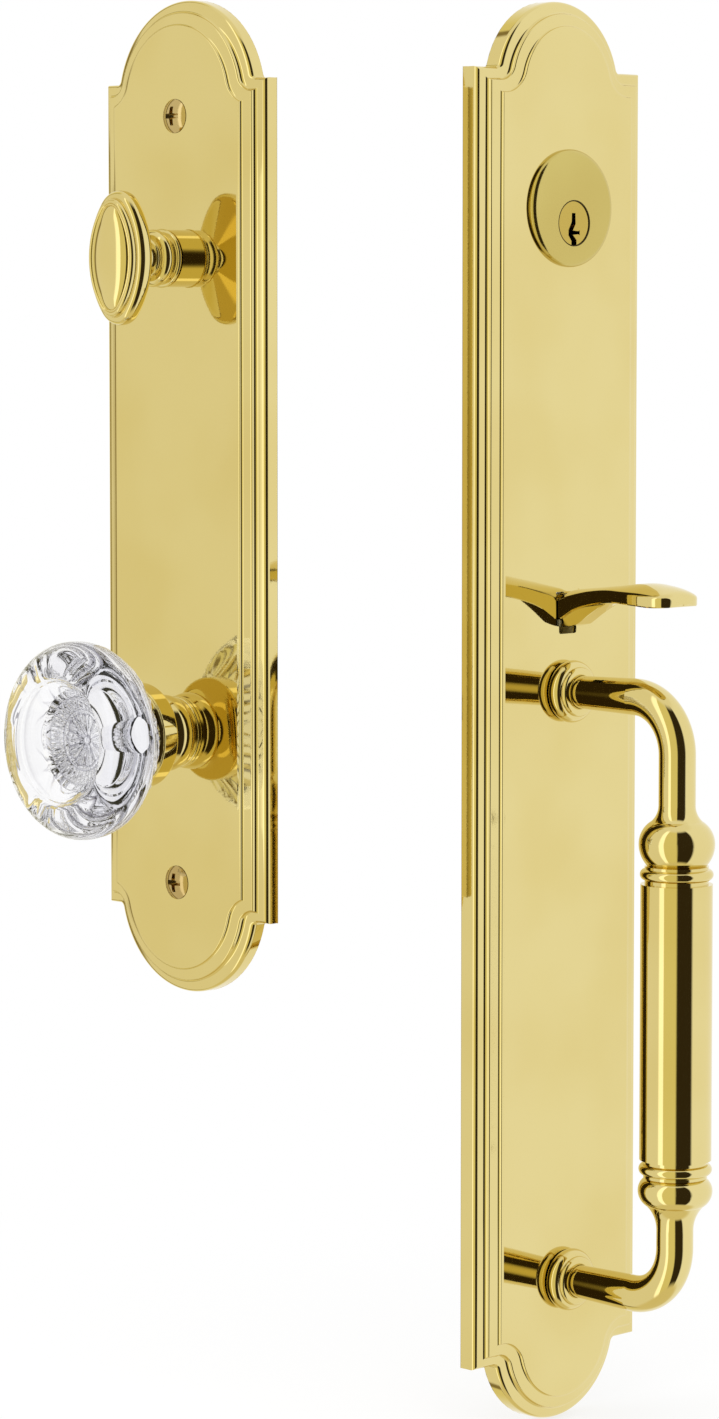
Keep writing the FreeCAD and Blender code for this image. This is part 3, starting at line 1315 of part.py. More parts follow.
dome_top = value(f"{RIM_HIGH} + turn_step_height + turn_dome_height")
round_edges(turn_knob, "turn_dome_height - 0.1", lambda point: abs(point.z - dome_top) < 0.01)
turn_socket = sketch_on(turn_knob, "XY_Plane", "-(inside_rise + turn_tail)")
draw(turn_socket, box_outline(
    "-turn_socket_thickness / 2", "-(turn_journal_radius + 1)",
    "turn_socket_thickness / 2", "turn_journal_radius + 1",
))
pocket(turn_knob, turn_socket, "turn_tail + 1", reverse=True)


# Knob

BUSH_TOP = "(inside_rise + knob_bush_lip_height)"
turned("knob_bushing", "inside", [
    ("shank_journal_radius + running_fit", INSIDE_CEILING),
    ("knob_bush_radius", INSIDE_CEILING),
    ("knob_bush_radius", "inside_rise"),
    ("knob_bush_lip", "inside_rise"),
    ("knob_bush_lip", "inside_rise + 0.4"),
    ("knob_bush_lip - 0.4", BUSH_TOP, "0.4", 1),
    ("shank_journal_radius + running_fit", BUSH_TOP),
], y=KNOB_Y)

FOOT = "(knob_bush_lip_height + face_gap)"
SHANK_LOW = f"({INSIDE_CEILING} + face_gap - inside_rise)"
FERRULE_TOP = "(ferrule_out + ferrule_depth)"
GLASS_LOW = "(ferrule_out + ferrule_floor)"
shank = turned("knob_shank", "inside", [
    ("0", SHANK_LOW),
    ("shank_journal_radius", SHANK_LOW),
    ("shank_journal_radius", FOOT),
    ("shank_foot_radius", FOOT),
    ("shank_foot_radius", f"{FOOT} + 0.9"),
    ("shank_bulb_radius", "shank_bulb_out",
     fair(f"shank_bulb_out - {FOOT} - 0.9", "shank_bulb_radius - shank_foot_radius"), 1),
    ("shank_neck_radius", "shank_neck_out",
     fair("shank_neck_out - shank_bulb_out", "shank_bulb_radius - shank_neck_radius"), 1),
    ("ferrule_radius - 0.8", "ferrule_out",
     fair("ferrule_radius - 0.8 - shank_neck_radius", "ferrule_out - shank_neck_out"), -1),
    ("ferrule_radius", "ferrule_out + 0.8", "0.8", 1),
    ("ferrule_radius", f"{FERRULE_TOP} - 0.5"),
    ("ferrule_radius - 0.5", FERRULE_TOP, "0.5", 1),
    ("glass_root_radius + slip_fit", FERRULE_TOP),
    ("glass_root_radius + slip_fit", GLASS_LOW),
    ("0", GLASS_LOW),
], y=KNOB_Y, z="inside_rise")
shank_socket = sketch_on(shank, "XY_Plane", SHANK_LOW)
draw(shank_socket, box_outline(f"-{SQUARE_HALF}", f"-{SQUARE_HALF}", SQUARE_HALF, SQUARE_HALF))
pocket(shank, shank_socket, f"ferrule_out - {SHANK_LOW}", reverse=True)
bolt_way = sketch_on(shank, "XY_Plane", GLASS_LOW)
circle(bolt_way, "0", "0", "glass_bolt_radius + slip_fit")
pocket(shank, bolt_way, "ferrule_floor + 1")
set_screw_way = sketch_on(shank, "XZ_Plane")
circle(set_screw_way, "0", "shank_bulb_out", "set_screw_radius")
pocket(shank, set_screw_way, "shank_bulb_radius + 2", reverse=True)

LIP_INSET = "(knob_radius - knob_rim_round - knob_lip_radius)"
LIP_OUT = f"(knob_rim_out + sqrt(knob_rim_round^2 - {LIP_INSET}^2))"
SHOULDER_SWELL = fair("knob_rim_out - knob_shoulder_out", "knob_radius - knob_shoulder_radius")
crystal = turned("crystal_knob", "inside", [
    ("0", GLASS_LOW),
    ("glass_root_radius", GLASS_LOW),
    ("glass_root_radius", "glass_root_out"),
    ("knob_shoulder_radius", "knob_shoulder_out"),
    ("knob_radius", "knob_rim_out", SHOULDER_SWELL, 1),
    ("knob_lip_radius", LIP_OUT, "knob_rim_round", 1),
    ("knob_well_radius", "knob_well_out"),
    ("0", "knob_dish_out", fair("knob_well_radius", "knob_well_out - knob_dish_out"), -1),
], y=KNOB_Y, z="inside_rise")
glass_bore = sketch_on(crystal, "XY_Plane", GLASS_LOW)
circle(glass_bore, "0", "0", "glass_bolt_radius")
pocket(crystal, glass_bore, "glass_bolt_bite + 0.2", reverse=True)
turned("glass_bolt", "inside", [
    ("0", "ferrule_out - glass_bolt_head_height"),
    ("glass_bolt_head", "ferrule_out - glass_bolt_head_height"),
    ("glass_bolt_head", "ferrule_out"),
    ("glass_bolt_radius", "ferrule_out"),
    ("glass_bolt_radius", f"{GLASS_LOW} + glass_bolt_bite"),
    ("0", f"{GLASS_LOW} + glass_bolt_bite"),
], y=KNOB_Y, z="inside_rise")

knob_spindle = new_body("knob_spindle", "inside", y=KNOB_Y, z="-knob_spindle_behind")
knob_section = sketch_on(knob_spindle, "XY_Plane")
draw(knob_section, box_outline(f"-{SPINDLE_HALF}", f"-{SPINDLE_HALF}", SPINDLE_HALF, SPINDLE_HALF))
pad(knob_spindle, knob_section, "knob_spindle_length")
turned("knob_set_screw", "inside", [
    ("0", "-(shank_bulb_radius - 0.6)"),
    ("set_screw_radius", "-(shank_bulb_radius - 0.6)"),
    ("set_screw_radius", f"-{SPINDLE_HALF} - 0.6"),
    ("set_screw_radius - 0.6", f"-{SPINDLE_HALF}"),
    ("0", f"-{SPINDLE_HALF}"),
], y=KNOB_Y, z="inside_rise + shank_bulb_out", axis="up")

CASE_BACK = f"({INSIDE_CEILING} - cassette_depth)"
HUB_STEP = "(cassette_hub_radius - 2)"
case = turned("cassette_case", "inside", [
    (f"{HUB_STEP} + running_fit", "0"),
    ("cassette_radius", "0"),
    ("cassette_radius", "cassette_depth"),
    ("cassette_radius - cassette_wall", "cassette_depth"),
    ("cassette_radius - cassette_wall", "cassette_wall"),
    (f"{HUB_STEP} + running_fit", "cassette_wall"),
], y=KNOB_Y, z=CASE_BACK)
EAR_PLACES = [("0", "cassette_ear_reach"), ("0", "-cassette_ear_reach")]
ears = sketch_on(case, "XY_Plane", "cassette_depth")
for low, high in (
    ("cassette_radius - cassette_wall + 0.1", "cassette_ear_reach + 4"),
    ("-(cassette_ear_reach + 4)", "-(cassette_radius - cassette_wall + 0.1)"),
):
    draw(ears, round_box_outline("(-4)", f"({low})", "4", f"({high})", "1"))
pad(case, ears, "cassette_wall", reverse=True)
holes(case, EAR_PLACES, "cassette_screw_radius + slip_fit", "cassette_depth", "0")
holes(
    inside_plate, [(x, f"{KNOB_Y} + {y}") for x, y in EAR_PLACES],
    "cassette_screw_radius", "1.6", INSIDE_CEILING,
)
hub = turned("cassette_hub", "inside", [
    ("0", "0"),
    (HUB_STEP, "0"),
    (HUB_STEP, "cassette_wall + slip_fit"),
    ("cassette_hub_radius", "cassette_wall + slip_fit"),
    ("cassette_hub_radius", "cassette_depth - face_gap"),
    ("0", "cassette_depth - face_gap"),
], y=KNOB_Y, z=CASE_BACK)
hub_square = sketch_on(hub, "XY_Plane")
draw(hub_square, box_outline(f"-{SQUARE_HALF}", f"-{SQUARE_HALF}", SQUARE_HALF, SQUARE_HALF))
pocket(hub, hub_square, "cassette_depth", reverse=True)

coil = new_body("knob_return_spring", "inside", y=KNOB_Y, z=f"({CASE_BACK} + cassette_wall)")
coil_plan = sketch_on(coil, "XY_Plane")
COIL_STEPS = 10


def coil_corner(step, inset):
    """Return a corner of the spring's spiral, a quarter turn on for each step."""
    reach = f"(cassette_hub_radius + 1.3 + {step} * coil_pitch / 4 - {inset})"
    return [(reach, "0"), ("0", reach), (f"-{reach}", "0"), ("0", f"-{reach}")][step % 4], reach


outer = [coil_corner(step, "0") for step in range(COIL_STEPS + 1)]
inner = [coil_corner(step, "coil_strip") for step in range(COIL_STEPS + 1)]
spiral = [inner[0][0], outer[0][0]]
for step in range(1, COIL_STEPS + 1):
    spiral.append((*outer[step][0], f"(({outer[step - 1][1]} + {outer[step][1]}) / 2)", 1))
spiral.append(inner[-1][0])
for step in range(COIL_STEPS - 1, 0, -1):
    spiral.append((*inner[step][0], f"(({inner[step + 1][1]} + {inner[step][1]}) / 2)", -1))
spiral[0] = (*inner[0][0], f"(({inner[1][1]} + {inner[0][1]}) / 2)", -1)
draw(coil_plan, spiral)
pad(coil, coil_plan, "coil_height")

cassette_screws = []
for number, (x, y) in enumerate(EAR_PLACES):
    cassette_screws.append(turned(f"cassette_screw_{number}", "inside", [
        ("0", f"{INSIDE_CEILING} - cassette_wall - 1.4"),
        ("2.6", f"{INSIDE_CEILING} - cassette_wall - 1.4"),
        ("2.6", f"{INSIDE_CEILING} - cassette_wall"),
        ("cassette_screw_radius", f"{INSIDE_CEILING} - cassette_wall"),
        ("cassette_screw_radius", f"{INSIDE_CEILING} + 1.5"),
        ("0", f"{INSIDE_CEILING} + 1.5"),
    ], x=x, y=f"({KNOB_Y} + {y})"))
group("cassette_screws", cassette_screws)


# Check and export

doc.recompute()
for item in doc.Objects:
    if "Invalid" in item.State or "Error" in item.State:
        raise RuntimeError(f"{item.Label} has failed: {item.State}")
os.makedirs("parts", exist_ok=True)
for piece in pieces:
    shape = piece.Shape
    if shape.isNull() or not shape.isValid():
        raise RuntimeError(f"{piece.Label} has no sound solid")
for piece in pieces:
    piece.Shape.exportStep(f"parts/{piece.Label}.step")
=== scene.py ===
import math
import bmesh
import bpy
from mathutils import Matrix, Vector


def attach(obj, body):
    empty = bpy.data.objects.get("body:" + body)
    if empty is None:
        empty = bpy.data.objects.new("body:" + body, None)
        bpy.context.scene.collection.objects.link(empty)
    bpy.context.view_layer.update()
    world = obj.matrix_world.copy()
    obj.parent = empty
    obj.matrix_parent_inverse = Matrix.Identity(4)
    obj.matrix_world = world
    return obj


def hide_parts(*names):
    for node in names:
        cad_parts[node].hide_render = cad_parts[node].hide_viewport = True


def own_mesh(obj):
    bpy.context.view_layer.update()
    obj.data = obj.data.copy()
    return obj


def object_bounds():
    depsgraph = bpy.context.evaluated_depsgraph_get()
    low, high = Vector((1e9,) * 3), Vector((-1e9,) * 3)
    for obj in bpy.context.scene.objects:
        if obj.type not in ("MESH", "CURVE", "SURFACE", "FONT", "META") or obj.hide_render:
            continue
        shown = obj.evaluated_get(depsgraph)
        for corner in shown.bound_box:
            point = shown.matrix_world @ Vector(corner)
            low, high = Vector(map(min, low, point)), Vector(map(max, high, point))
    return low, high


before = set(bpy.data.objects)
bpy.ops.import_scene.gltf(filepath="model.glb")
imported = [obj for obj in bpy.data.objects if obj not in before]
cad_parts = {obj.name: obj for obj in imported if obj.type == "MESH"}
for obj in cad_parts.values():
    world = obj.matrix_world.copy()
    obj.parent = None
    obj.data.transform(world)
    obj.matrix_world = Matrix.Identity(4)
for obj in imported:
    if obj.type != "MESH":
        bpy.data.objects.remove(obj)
CAD_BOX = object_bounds()

MM = 0.001

# Heights of centres above the lock's axis, in millimetres
UPPER_POST_Y = -142.3
LOWER_POST_Y = -318.5
THUMB_Y = -117.0
TURN_Y = -14.7
KNOB_Y = -154.4
PLUG_Y = -4.4
UPPER_SCREW_Y = 26.9
LOWER_SCREW_Y = -199.3

# The plates: how far each stands out from the door, and what their outlines share
OUTSIDE_RISE = 9.65
INSIDE_RISE = 8.5
PLATE_HALF_WIDTH = 34.925
LEDGE_FILLET = 1.6

# Where the inside plate's back and its middle line stand in the scene
INSIDE_BACK_X = -75.0
INSIDE_MIDDLE_Y = 70.5


# Places: a plate's own frame is x across, y up and z out from the door, in millimetres

def outside(x, y, z):
    """Put a point of the outside plate's frame in the scene."""
    return Vector((x, -z, y)) * MM


def inside(x, y, z):
    """Put a point of the inside plate's frame in the scene."""
    return Vector((INSIDE_BACK_X - z, INSIDE_MIDDLE_Y - x, y)) * MM


# Shader maths

class Shade:
    """A node socket that can be used in sums and products."""

    tree = None

    def __init__(self, socket):
        self.socket = socket

    @classmethod
    def node(cls, kind, settings=None, inputs=None, output=0):
        """Add a node with its settings made first, then its sockets' values or links."""
        node = cls.tree.nodes.new(kind)
        for name, setting in (settings or {}).items():
            if name == "stops":
                ramp = node.color_ramp
                while len(ramp.elements) < len(setting):
                    ramp.elements.new(1.0)
                for element, (place, colour) in zip(ramp.elements, setting):
                    element.position = place
                    element.color = (*colour, 1.0)
            else:
                setattr(node, name, setting)
        for name, given in (inputs or {}).items():
            if isinstance(given, Shade):
                cls.tree.links.new(given.socket, node.inputs[name])
            else:
                node.inputs[name].default_value = given
        return cls(node.outputs[output])

    def maths(self, operation, other=None, swap=False):
        """Add a Math node; swap puts this socket second."""
        pair = [self] if other is None else [self, other]
        if swap:
            pair.reverse()
        return Shade.node("ShaderNodeMath", {"operation": operation}, dict(enumerate(pair)))

    def __add__(self, other):
        return self.maths("ADD", other)

    def __radd__(self, other):
        return self.maths("ADD", other, True)

    def __sub__(self, other):
        return self.maths("SUBTRACT", other)

    def __rsub__(self, other):
        return self.maths("SUBTRACT", other, True)

    def __mul__(self, other):
        return self.maths("MULTIPLY", other)

    def __rmul__(self, other):
        return self.maths("MULTIPLY", other, True)

    def __truediv__(self, other):
        return self.maths("DIVIDE", other)

    def clamp(self, low, high):
        """Keep a value from low to high."""
        return self.maths("MAXIMUM", low).maths("MINIMUM", high)

    def between(self, low, high):
        """Turn a range of values into 0 to 1 with soft ends."""
        return Shade.node("ShaderNodeMapRange", {"interpolation_type": "SMOOTHSTEP"}, {
            "Value": self, "From Min": low, "From Max": high,
        })

    @classmethod
    def mix(cls, factor, first, second):
        """Mix two colours."""
        return cls.node("ShaderNodeMix", {"data_type": "RGBA"}, {0: factor, 6: first, 7: second}, 2)


def start_material(name):
    """Make a material with a Principled shader and point the shader maths at its tree."""
    material = bpy.data.materials.new(name)
    material.use_nodes = True
    Shade.tree = material.node_tree
    return material, material.node_tree.nodes["Principled BSDF"]


def feed(shader, name, shade):
    """Link a changing value or set a plain one on a shader's socket."""
    if isinstance(shade, Shade):
        Shade.tree.links.new(shade.socket, shader.inputs[name])
    else:
        shader.inputs[name].default_value = shade


def noise(scale, detail=3.0, stretch=(1.0, 1.0, 1.0)):
    """Noise in the object's own coordinates; scale is in bumps to a metre."""
    place = Shade.node("ShaderNodeTexCoord", output="Object")
    spread = Shade.node("ShaderNodeMapping", inputs={"Vector": place, "Scale": stretch})
    return Shade.node("ShaderNodeTexNoise", inputs={"Vector": spread, "Scale": scale, "Detail": detail})


def bump(height, distance, strength):
    """Turn a height into a normal; the distance is in metres."""
    return Shade.node("ShaderNodeBump", inputs={"Height": height, "Distance": distance, "Strength": strength})


def metal(name, colour, deeper, roughness, scratches, grain=(1.0, 1.0, 1.0), coat=0.0):
    """Metal with a slow change of tone, polishing marks and faint waviness."""
    material, shader = start_material(name)
    tone = noise(22.0, 2.0).between(0.35, 0.7)
    marks = noise(2600.0, 4.0, grain)
    feed(shader, "Metallic", 1.0)
    feed(shader, "Base Color", Shade.mix(tone, (*colour, 1.0), (*deeper, 1.0)))
    feed(shader, "Roughness", roughness + marks.between(0.45, 0.75) * scratches)
    feed(shader, "Normal", bump(marks, 0.00002, 0.06 if scratches < 0.1 else 0.3))
    if coat:
        shader.inputs["Coat Roughness"].default_value = 0.03
        feed(shader, "Coat Weight", noise(60.0, 2.0).between(0.2, 0.6) * coat)
    return material


POLISHED_BRASS = metal("polished_brass", (0.775, 0.655, 0.285), (0.745, 0.615, 0.245), 0.035, 0.03, coat=0.15)
LOCK_BRASS = metal("machined_brass", (0.64, 0.53, 0.17), (0.59, 0.47, 0.14), 0.10, 0.10)
PLUG_BRASS = metal("plug_brass", (0.62, 0.47, 0.12), (0.56, 0.41, 0.09), 0.10, 0.08)
SCREW_BRASS = metal("screw_brass", (0.60, 0.46, 0.20), (0.52, 0.38, 0.15), 0.10, 0.10)
# Painted shade: a near-black brass for the gap round the lock's plug, where only shade falls
PAINTED_SHADE_GAP = metal("painted_shade_gap", (0.07, 0.05, 0.02), (0.05, 0.035, 0.012), 0.45, 0.10)
STEEL = metal("plain_steel", (0.56, 0.56, 0.55), (0.48, 0.48, 0.48), 0.28, 0.18, (1.0, 1.0, 0.08))
SPRING_STEEL = metal("spring_steel", (0.42, 0.42, 0.44), (0.34, 0.34, 0.37), 0.24, 0.10)


def crystal_glass():
    """Clear crystal with painted shade in soft grey violet along its cuts."""
    material, shader = start_material("cut_crystal")
    shader.inputs["Transmission Weight"].default_value = 1.0
    shader.inputs["IOR"].default_value = 1.52
    shader.inputs["Roughness"].default_value = 0.0
    painted_shade_lines = Shade.node("ShaderNodeAttribute", {"attribute_name": "cut_lines"}, output=2)
    cords = noise(140.0, 2.0)
    clear = Shade.mix(cords.between(0.3, 0.7), (0.995, 0.995, 1.0, 1.0), (0.982, 0.980, 0.992, 1.0))
    # Painted shade: the glass's colour darkens towards grey violet along its cuts, where the dark edges come
    # from how light bends
    feed(shader, "Base Color", Shade.mix(painted_shade_lines.between(0.1, 0.9) * 0.85, clear, (0.20, 0.19, 0.25, 1.0)))
    feed(shader, "Normal", bump(cords, 0.0003, 0.04))
    return material


def silvered_back():
    """Bright foil behind the crystal, with painted shade along its cuts."""
    material, shader = start_material("silvered_back")
    painted_shade_lines = Shade.node("ShaderNodeAttribute", {"attribute_name": "cut_lines"}, output=2)
    tone = Shade.mix(noise(90.0, 2.0).between(0.3, 0.7), (0.95, 0.95, 0.96, 1.0), (0.88, 0.88, 0.91, 1.0))
    feed(shader, "Metallic", 1.0)
    feed(shader, "Roughness", 0.04)
    # Painted shade: the foil's colour darkens to grey violet along the crystal's cuts
    feed(shader, "Base Color", Shade.mix(painted_shade_lines.between(0.15, 0.9) * 0.8, tone, (0.22, 0.21, 0.27, 1.0)))
    return material


CRYSTAL = crystal_glass()
SILVERED = silvered_back()


# Light, world, floor and camera

def studio_world():
    """Show the camera white, mirrored rays a banded studio, and rays through the glass thin dark bars."""
    world = bpy.data.worlds.new("studio")
    bpy.context.scene.world = world
    world.use_nodes = True
    Shade.tree = world.node_tree
    background = world.node_tree.nodes["Background"]
    way = Shade.node("ShaderNodeTexCoord", output="Generated")
    parts = Shade.node("ShaderNodeSeparateXYZ", inputs={0: way})
    x, y, z = (Shade(parts.socket.node.outputs[index]) for index in range(3))
    heading = Shade.node("ShaderNodeMath", {"operation": "ARCTAN2"}, {0: y, 1: x})
    turn = heading / 360.0 * math.degrees(1.0) + 0.5
    white = (1.0, 1.0, 1.0)
    bright = (1.5, 1.5, 1.5)
    cream = (0.90, 0.87, 0.76)
    warm = (0.84, 0.77, 0.42)
    dark = (0.035, 0.025, 0.012)
    brown = (0.28, 0.22, 0.10)

    ceiling = (0.93, 0.91, 0.84)
    ground = (0.80, 0.72, 0.46)
    shadow = (0.10, 0.09, 0.14)

    def stop(degrees, colour):
        """Place a colour on the walls by its heading."""
        return (degrees + 180.0) / 360.0, colour

    walls = Shade.node("ShaderNodeValToRGB", {"stops": [
        stop(-180.0, bright), stop(-178.0, warm), stop(-140.0, warm), stop(-134.5, dark), stop(-90.0, dark),
        stop(-83.0, white), stop(40.0, white), stop(84.0, warm), stop(95.0, warm), stop(98.5, brown),
        stop(103.0, brown), stop(107.0, cream), stop(163.0, cream), stop(167.0, bright),
    ]}, {"Fac": turn})
    high = z.between(0.84, 0.95)
    low = (-1.0 * z).between(0.80, 0.92)
    room = Shade.mix(low, Shade.mix(high, walls, (*ceiling, 1.0)), (*ground, 1.0))
    bars = (turn * 96.0 + z * 5.0).maths("SINE").between(0.80, 0.95)
    far = turn.between(0.26, 0.30) * (0.62 - turn).between(0.0, 0.04)
    near = turn.between(0.10, 0.13) * (0.24 - turn).between(0.0, 0.02)
    clear = Shade.mix(0.65 * bars * far + 0.35 * near, (*white, 1.0), (*shadow, 1.0))
    path = Shade.node("ShaderNodeLightPath").socket.node.outputs
    glossy, through = (Shade(path[name]) for name in ("Is Glossy Ray", "Is Transmission Ray"))
    feed(background, "Color", Shade.mix(through, Shade.mix(glossy, (*white, 1.0), room), clear))
    background.inputs["Strength"].default_value = 1.0


def studio_floor():
    """Lay a pale floor that shows white and keeps a soft shadow; the brass doesn't mirror it."""
    half = 0.62
    gap = 0.0005
    corners = [(-half, -half), (half, -half), (half, half), (-half, half)]
    floor_mesh = bpy.data.meshes.new("floor")
    level = CAD_BOX[0][2] - gap
    floor_mesh.from_pydata([(x, y, level) for x, y in corners], [], [(0, 1, 2, 3)])
    floor = bpy.data.objects.new("floor", floor_mesh)
    bpy.context.collection.objects.link(floor)
    material, shader = start_material("pale_floor")
    shader.inputs["Roughness"].default_value = 0.9
    feed(shader, "Base Color", Shade.mix(noise(3.0), (0.93, 0.93, 0.93, 1.0), (0.90, 0.90, 0.90, 1.0)))
    glow = Shade.node("ShaderNodeEmission", inputs={"Color": (1.0, 1.0, 1.0, 1.0), "Strength": 1.0})
    path = Shade.node("ShaderNodeLightPath").socket.node.outputs
    seen = Shade(path["Is Camera Ray"]) + Shade(path["Is Glossy Ray"]) + Shade(path["Is Transmission Ray"])
    place = Shade.node("ShaderNodeTexCoord", output="Object")
    reach = Shade.node("ShaderNodeVectorMath", {"operation": "LENGTH"}, {0: place}, "Value")
    fade = 0.7 + 0.3 * reach.between(0.30, 0.50)
    blend = Shade.node("ShaderNodeMixShader", inputs={
        0: seen.clamp(0.0, 1.0) * fade, 1: Shade(shader.outputs[0]), 2: glow,
    })
    Shade.tree.links.new(blend.socket, Shade.tree.nodes["Material Output"].inputs["Surface"])
    floor_mesh.materials.append(material)
    floor.visible_glossy = False


def lamp(name, place, target, width, height, power, mirrored):
    """Hang a soft area lamp; one that isn't mirrored leaves no shape on the brass."""
    light = bpy.data.lights.new(name, "AREA")
    light.shape = "RECTANGLE"
    light.size = width
    light.size_y = height
    light.energy = power
    hung = bpy.data.objects.new(name, light)
    hung.location = place
    hung.rotation_euler = (Vector(target) - Vector(place)).to_track_quat("-Z", "Y").to_euler()
    hung.visible_glossy = mirrored
    hung.visible_transmission = mirrored
    bpy.context.collection.objects.link(hung)


def studio_camera():
    """Stand the camera where the photograph was taken from; the frame and the lens are in its pixels."""
    frame_width, frame_height, focal_length = 719.0, 1419.0, 4385.0
    centre_x, centre_y = 351.5, 620.5
    sensor = 36.0
    looking_down, heading = 4.13, 45.9
    lens = bpy.data.cameras.new("camera")
    lens.sensor_fit = "AUTO"
    lens.sensor_width = sensor
    lens.lens = focal_length / frame_height * sensor
    lens.shift_x = (frame_width / 2.0 - centre_x) / frame_height
    lens.shift_y = -(frame_height / 2.0 - centre_y) / frame_height
    camera = bpy.data.objects.new("camera", lens)
    camera.location = (-0.946, -0.894, -0.028)
    camera.rotation_euler = (math.radians(90.0 - looking_down), 0.0, math.radians(heading - 90.0))
    bpy.context.collection.objects.link(camera)
    bpy.context.scene.camera = camera


bpy.context.scene.view_settings.view_transform = "Standard"
studio_world()
studio_floor()
lamp("overhead", (-0.9, -0.7, 1.3), (0.0, 0.0, -0.2), 1.2, 1.2, 9.0, False)
lamp("side_fill", (-1.4, 0.6, 0.3), (0.0, 0.0, -0.15), 0.8, 1.0, 3.0, False)
studio_camera()


# Meshes

STEPS = 144


def circle_ring(radius, height, steps=STEPS):
    """Return the points of a level circle."""
    turns = [2.0 * math.pi * step / steps for step in range(steps)]
    return [(radius * math.cos(turn), radius * math.sin(turn), height) for turn in turns]


def skin(rings):
    """Join rings of equally many points and close both ends."""
    count = len(rings[0])
    points = [point for ring in rings for point in ring]
    faces = []
    for level in range(len(rings) - 1):
        low, high = level * count, (level + 1) * count
        for step in range(count):
            after = (step + 1) % count
            faces.append((low + step, low + after, high + after, high + step))
    faces.append(tuple(range(count)))
    faces.append(tuple(range(len(points) - count, len(points))))
    return points, faces


def closed_mesh(name, points, faces, put, sharp=28.0):
    """Make a closed mesh in the scene's frame, with merged doubles and outward faces."""
    shape = bmesh.new()
    made = [shape.verts.new(put(*point)) for point in points]
    for face in faces:
        corners = [made[index] for index in face]
        if len({tuple(round(value, 8) for value in corner.co) for corner in corners}) > 2:
            shape.faces.new(corners)
    bmesh.ops.remove_doubles(shape, verts=shape.verts, dist=1e-7)
    bmesh.ops.dissolve_degenerate(shape, edges=shape.edges, dist=1e-8)
    bmesh.ops.recalc_face_normals(shape, faces=shape.faces)
    mesh = bpy.data.meshes.new(name)
    shape.to_mesh(mesh)
    shape.free()
    mesh.shade_smooth()
    mesh.set_sharp_from_angle(angle=math.radians(sharp))
    made_piece = bpy.data.objects.new(name, mesh)
    bpy.context.collection.objects.link(made_piece)
    return made_piece


def finish_piece(piece, material, body, slot, *replaced):
    """Give a piece its finish, its body and the node that it stands for."""
    piece.data.materials.clear()
    piece.data.materials.append(material)
    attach(piece, body)
    if replaced:
        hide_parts(*replaced)


def cut(piece, tool):
    """Cut a tool's shape out of a piece."""
    difference = piece.modifiers.new("cut", "BOOLEAN")
    difference.operation = "DIFFERENCE"
    difference.solver = "EXACT"
    difference.object = tool
    bpy.context.view_layer.update()
    plain = bpy.data.meshes.new_from_object(piece.evaluated_get(bpy.context.evaluated_depsgraph_get()))
    piece.modifiers.clear()
    plain.name = piece.name
    piece.data = plain
    bpy.data.objects.remove(tool)


def eased(profile, amount=0.15, steps=3):
    """Round the corners of a profile; a third number gives a corner its own rounding."""
    out = [profile[0][:2]]
    for before, corner, after in zip(profile, profile[1:], profile[2:]):
        spot = Vector(corner[:2])
        ease = corner[2] if len(corner) > 2 else amount
        back = Vector(before[:2]) - spot
        on = Vector(after[:2]) - spot
        if ease <= 0.0 or back.length < 1e-6 or on.length < 1e-6 or abs(back.angle(on) - math.pi) < 0.12:
            out.append(tuple(spot))
            continue
        start = spot + back.normalized() * min(ease, 0.45 * back.length)
        end = spot + on.normalized() * min(ease, 0.45 * on.length)
        for step in range(steps + 1):
            t = step / steps
            out.append(tuple(start * (1 - t) ** 2 + spot * 2 * t * (1 - t) + end * t ** 2))
    out.append(profile[-1][:2])
    return out


def arc(centre, radius, start, end, steps=10):
    """Return points of an arc in a profile; angles are in degrees from straight outwards."""
    points = []
    for step in range(steps + 1):
        angle = math.radians(start + (end - start) * step / steps)
        points.append((centre[0] + radius * math.cos(angle), centre[1] + radius * math.sin(angle), 0.0))
    return points


def lathe(name, profile, put, sharp=28.0, steps=STEPS):
    """Turn a profile of radius and height round its axis."""
    points, faces = skin([circle_ring(radius, height, steps) for radius, height in profile])
    return closed_mesh(name, points, faces, put, sharp)


def smooth(place, stations):
    """Read a value on the smooth curve through the stations, which are pairs of place and value."""
    if place <= stations[0][0]:
        return stations[0][1]
    for (low, first), (high, second) in zip(stations, stations[1:]):
        if place <= high:
            t = (place - low) / (high - low)
            index = stations.index((low, first))
            before = stations[index - 1] if index else (2 * low - high, first)
            after = stations[index + 2] if index + 2 < len(stations) else (2 * high - low, second)
            rise_in = (second - before[1]) / (high - before[0]) * (high - low)
            rise_out = (after[1] - first) / (after[0] - low) * (high - low)
            return (
                first * (2 * t ** 3 - 3 * t ** 2 + 1) + rise_in * (t ** 3 - 2 * t ** 2 + t)
                + second * (3 * t ** 2 - 2 * t ** 3) + rise_out * (t ** 3 - t ** 2)
            )
    return stations[-1][1]


# Crystal knob

def bell(distance, width):
    """Fall off smoothly from 1 on both sides of a line."""
    return math.exp(-(distance / width) ** 2)


